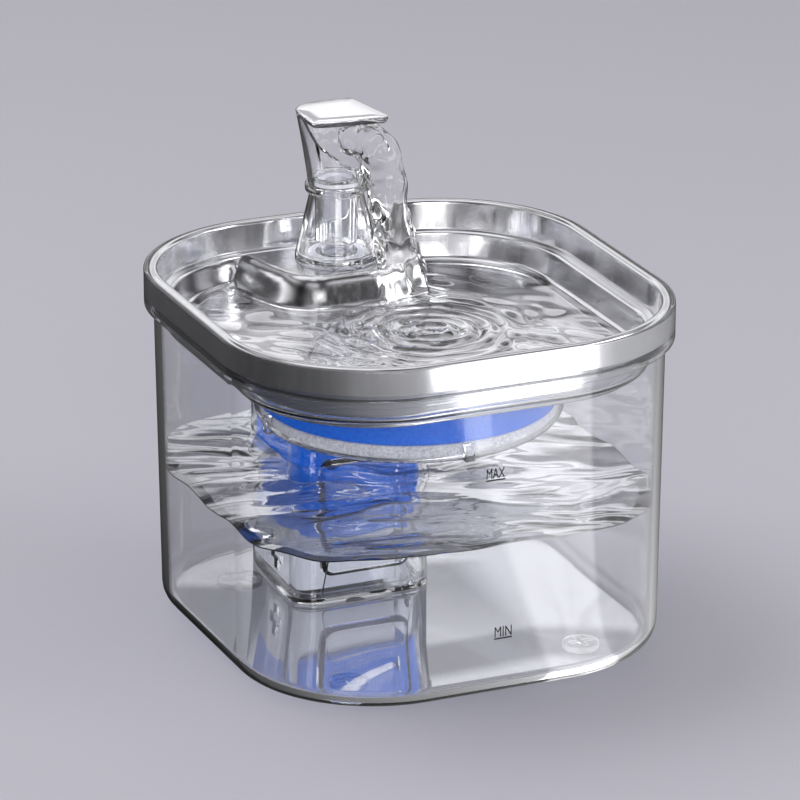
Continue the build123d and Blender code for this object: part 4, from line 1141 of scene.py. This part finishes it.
# 1 for a view that was mirrored on its way, 0 for one that only came through clear plastic or water
def addMirrored(tree, path):
    return addNode(tree, "ShaderNodeMath", {0: path["Glossy Depth"], 1: 1.0}, operation="MINIMUM").outputs[0]


def addRamp(tree, stops, source):
    ramp = addNode(tree, "ShaderNodeValToRGB", {"Fac": source})
    elements = ramp.color_ramp.elements
    while len(elements) > 1:
        elements.remove(elements[-1])
    elements[0].position = stops[0][0]
    for number, (place, level) in enumerate(stops):
        element = elements[0] if number == 0 else elements.new(place)
        element.color = (level, level, level * 1.02, 1)
    return ramp.outputs["Color"]


# two colours mixed, or multiplied with mode "MULTIPLY"
def addColours(tree, share, first, second, mode="MIX"):
    mixed = addNode(tree, "ShaderNodeMix", data_type="RGBA", blend_type=mode)
    for name, value in (("Factor", share), ("A", first), ("B", second)):
        if isinstance(value, float):
            mixed.inputs[name].default_value = value
        else:
            tree.links.new(value, mixed.inputs[name])
    return mixed.outputs["Result"]


# X, Y and Z of a texture coordinate
def addParts(tree, coordinate):
    place = addNode(tree, "ShaderNodeTexCoord").outputs[coordinate]
    return addNode(tree, "ShaderNodeSeparateXYZ", {"Vector": place}).outputs


# heading round the fountain as 0 to 1, from -X by way of -Y
def addHeading(tree, parts):
    angle = addNode(tree, "ShaderNodeMath", {0: parts["Y"], 1: parts["X"]}, operation="ARCTAN2")
    turn = addNode(tree, "ShaderNodeMapRange", {
        "Value": angle.outputs[0], "From Min": -math.pi, "From Max": math.pi})
    return turn.outputs["Result"]


def makeFloor():
    size = studio["floorHalf"]
    corners = [(-size, -size, 0), (size, -size, 0), (-size, size, 0), (size, size, 0)]
    floor = newPiece("floor", np.array(corners, float), [[0, 1, 3, 2]], smooth=False)
    material, tree = newMaterial("paleFloor")
    shader = addNode(tree, "ShaderNodeBsdfPrincipled", {"Base Color": (*studio["floor"], 1), "Roughness": 0.6})
    turn = addHeading(tree, addParts(tree, "Object"))
    # painted reflection: the floor glows in these bands only for views that were mirrored on their way; the camera
    # sees the plain pale floor
    paintedReflectionGlow = addNode(tree, "ShaderNodeEmission", {"Color": addRamp(tree, studio["ring"], turn)})
    mirrored = addMirrored(tree, addNode(tree, "ShaderNodeLightPath").outputs)
    addNode(tree, "ShaderNodeOutputMaterial", {
        "Surface": addMixed(tree, mirrored, shader.outputs[0], paintedReflectionGlow.outputs[0])})
    floor.data.materials.append(material)


def makeLamp(name, location, width, power, mirrored):
    data = bpy.data.lights.new(name, "AREA")
    data.size = width
    data.energy = power
    lamp = bpy.data.objects.new(name, data)
    lamp.location = location
    lamp.rotation_euler = (Vector(studio["lampAim"]) - Vector(location)).to_track_quat("-Z", "Y").to_euler()
    lamp.visible_glossy = mirrored
    scene.collection.objects.link(lamp)


# an even soft light for plain surfaces, and bands and panels for what polished ones mirror
def makeWorld():
    world = bpy.data.worlds.new("studio")
    scene.world = world
    world.use_nodes = True
    tree = world.node_tree
    tree.nodes.clear()
    even = addNode(tree, "ShaderNodeBackground", {"Color": (0.95, 0.95, 1.0, 1), "Strength": studio["soft"]})
    parts = addParts(tree, "Generated")
    panels = addRamp(tree, studio["panels"], addHeading(tree, parts))
    sky = addRamp(tree, studio["sky"], parts["Z"])
    frontSky = addColours(tree, 1.0, addRamp(tree, studio["frontSky"], parts["Z"]), panels, "MULTIPLY")
    through = addColours(tree, 1.0, addRamp(tree, studio["through"], parts["Z"]), panels, "MULTIPLY")
    behind = addNode(tree, "ShaderNodeMapRange", {
        "Value": parts["Y"], "From Min": studio["frontEnds"][0], "From Max": studio["frontEnds"][1]})
    path = addNode(tree, "ShaderNodeLightPath").outputs
    above = addColours(tree, behind.outputs["Result"], frontSky, sky)
    seen = addColours(tree, addMirrored(tree, path), through, above)
    shown = addNode(tree, "ShaderNodeBackground", {"Color": seen})
    addNode(tree, "ShaderNodeOutputWorld", {
        "Surface": addMixed(tree, path["Is Diffuse Ray"], shown.outputs[0], even.outputs[0])})


makeCamera()
makeFloor()
makeWorld()
for lampName, values in studio["lamps"].items():
    makeLamp(lampName, *values)
print("stage: camera and lights")
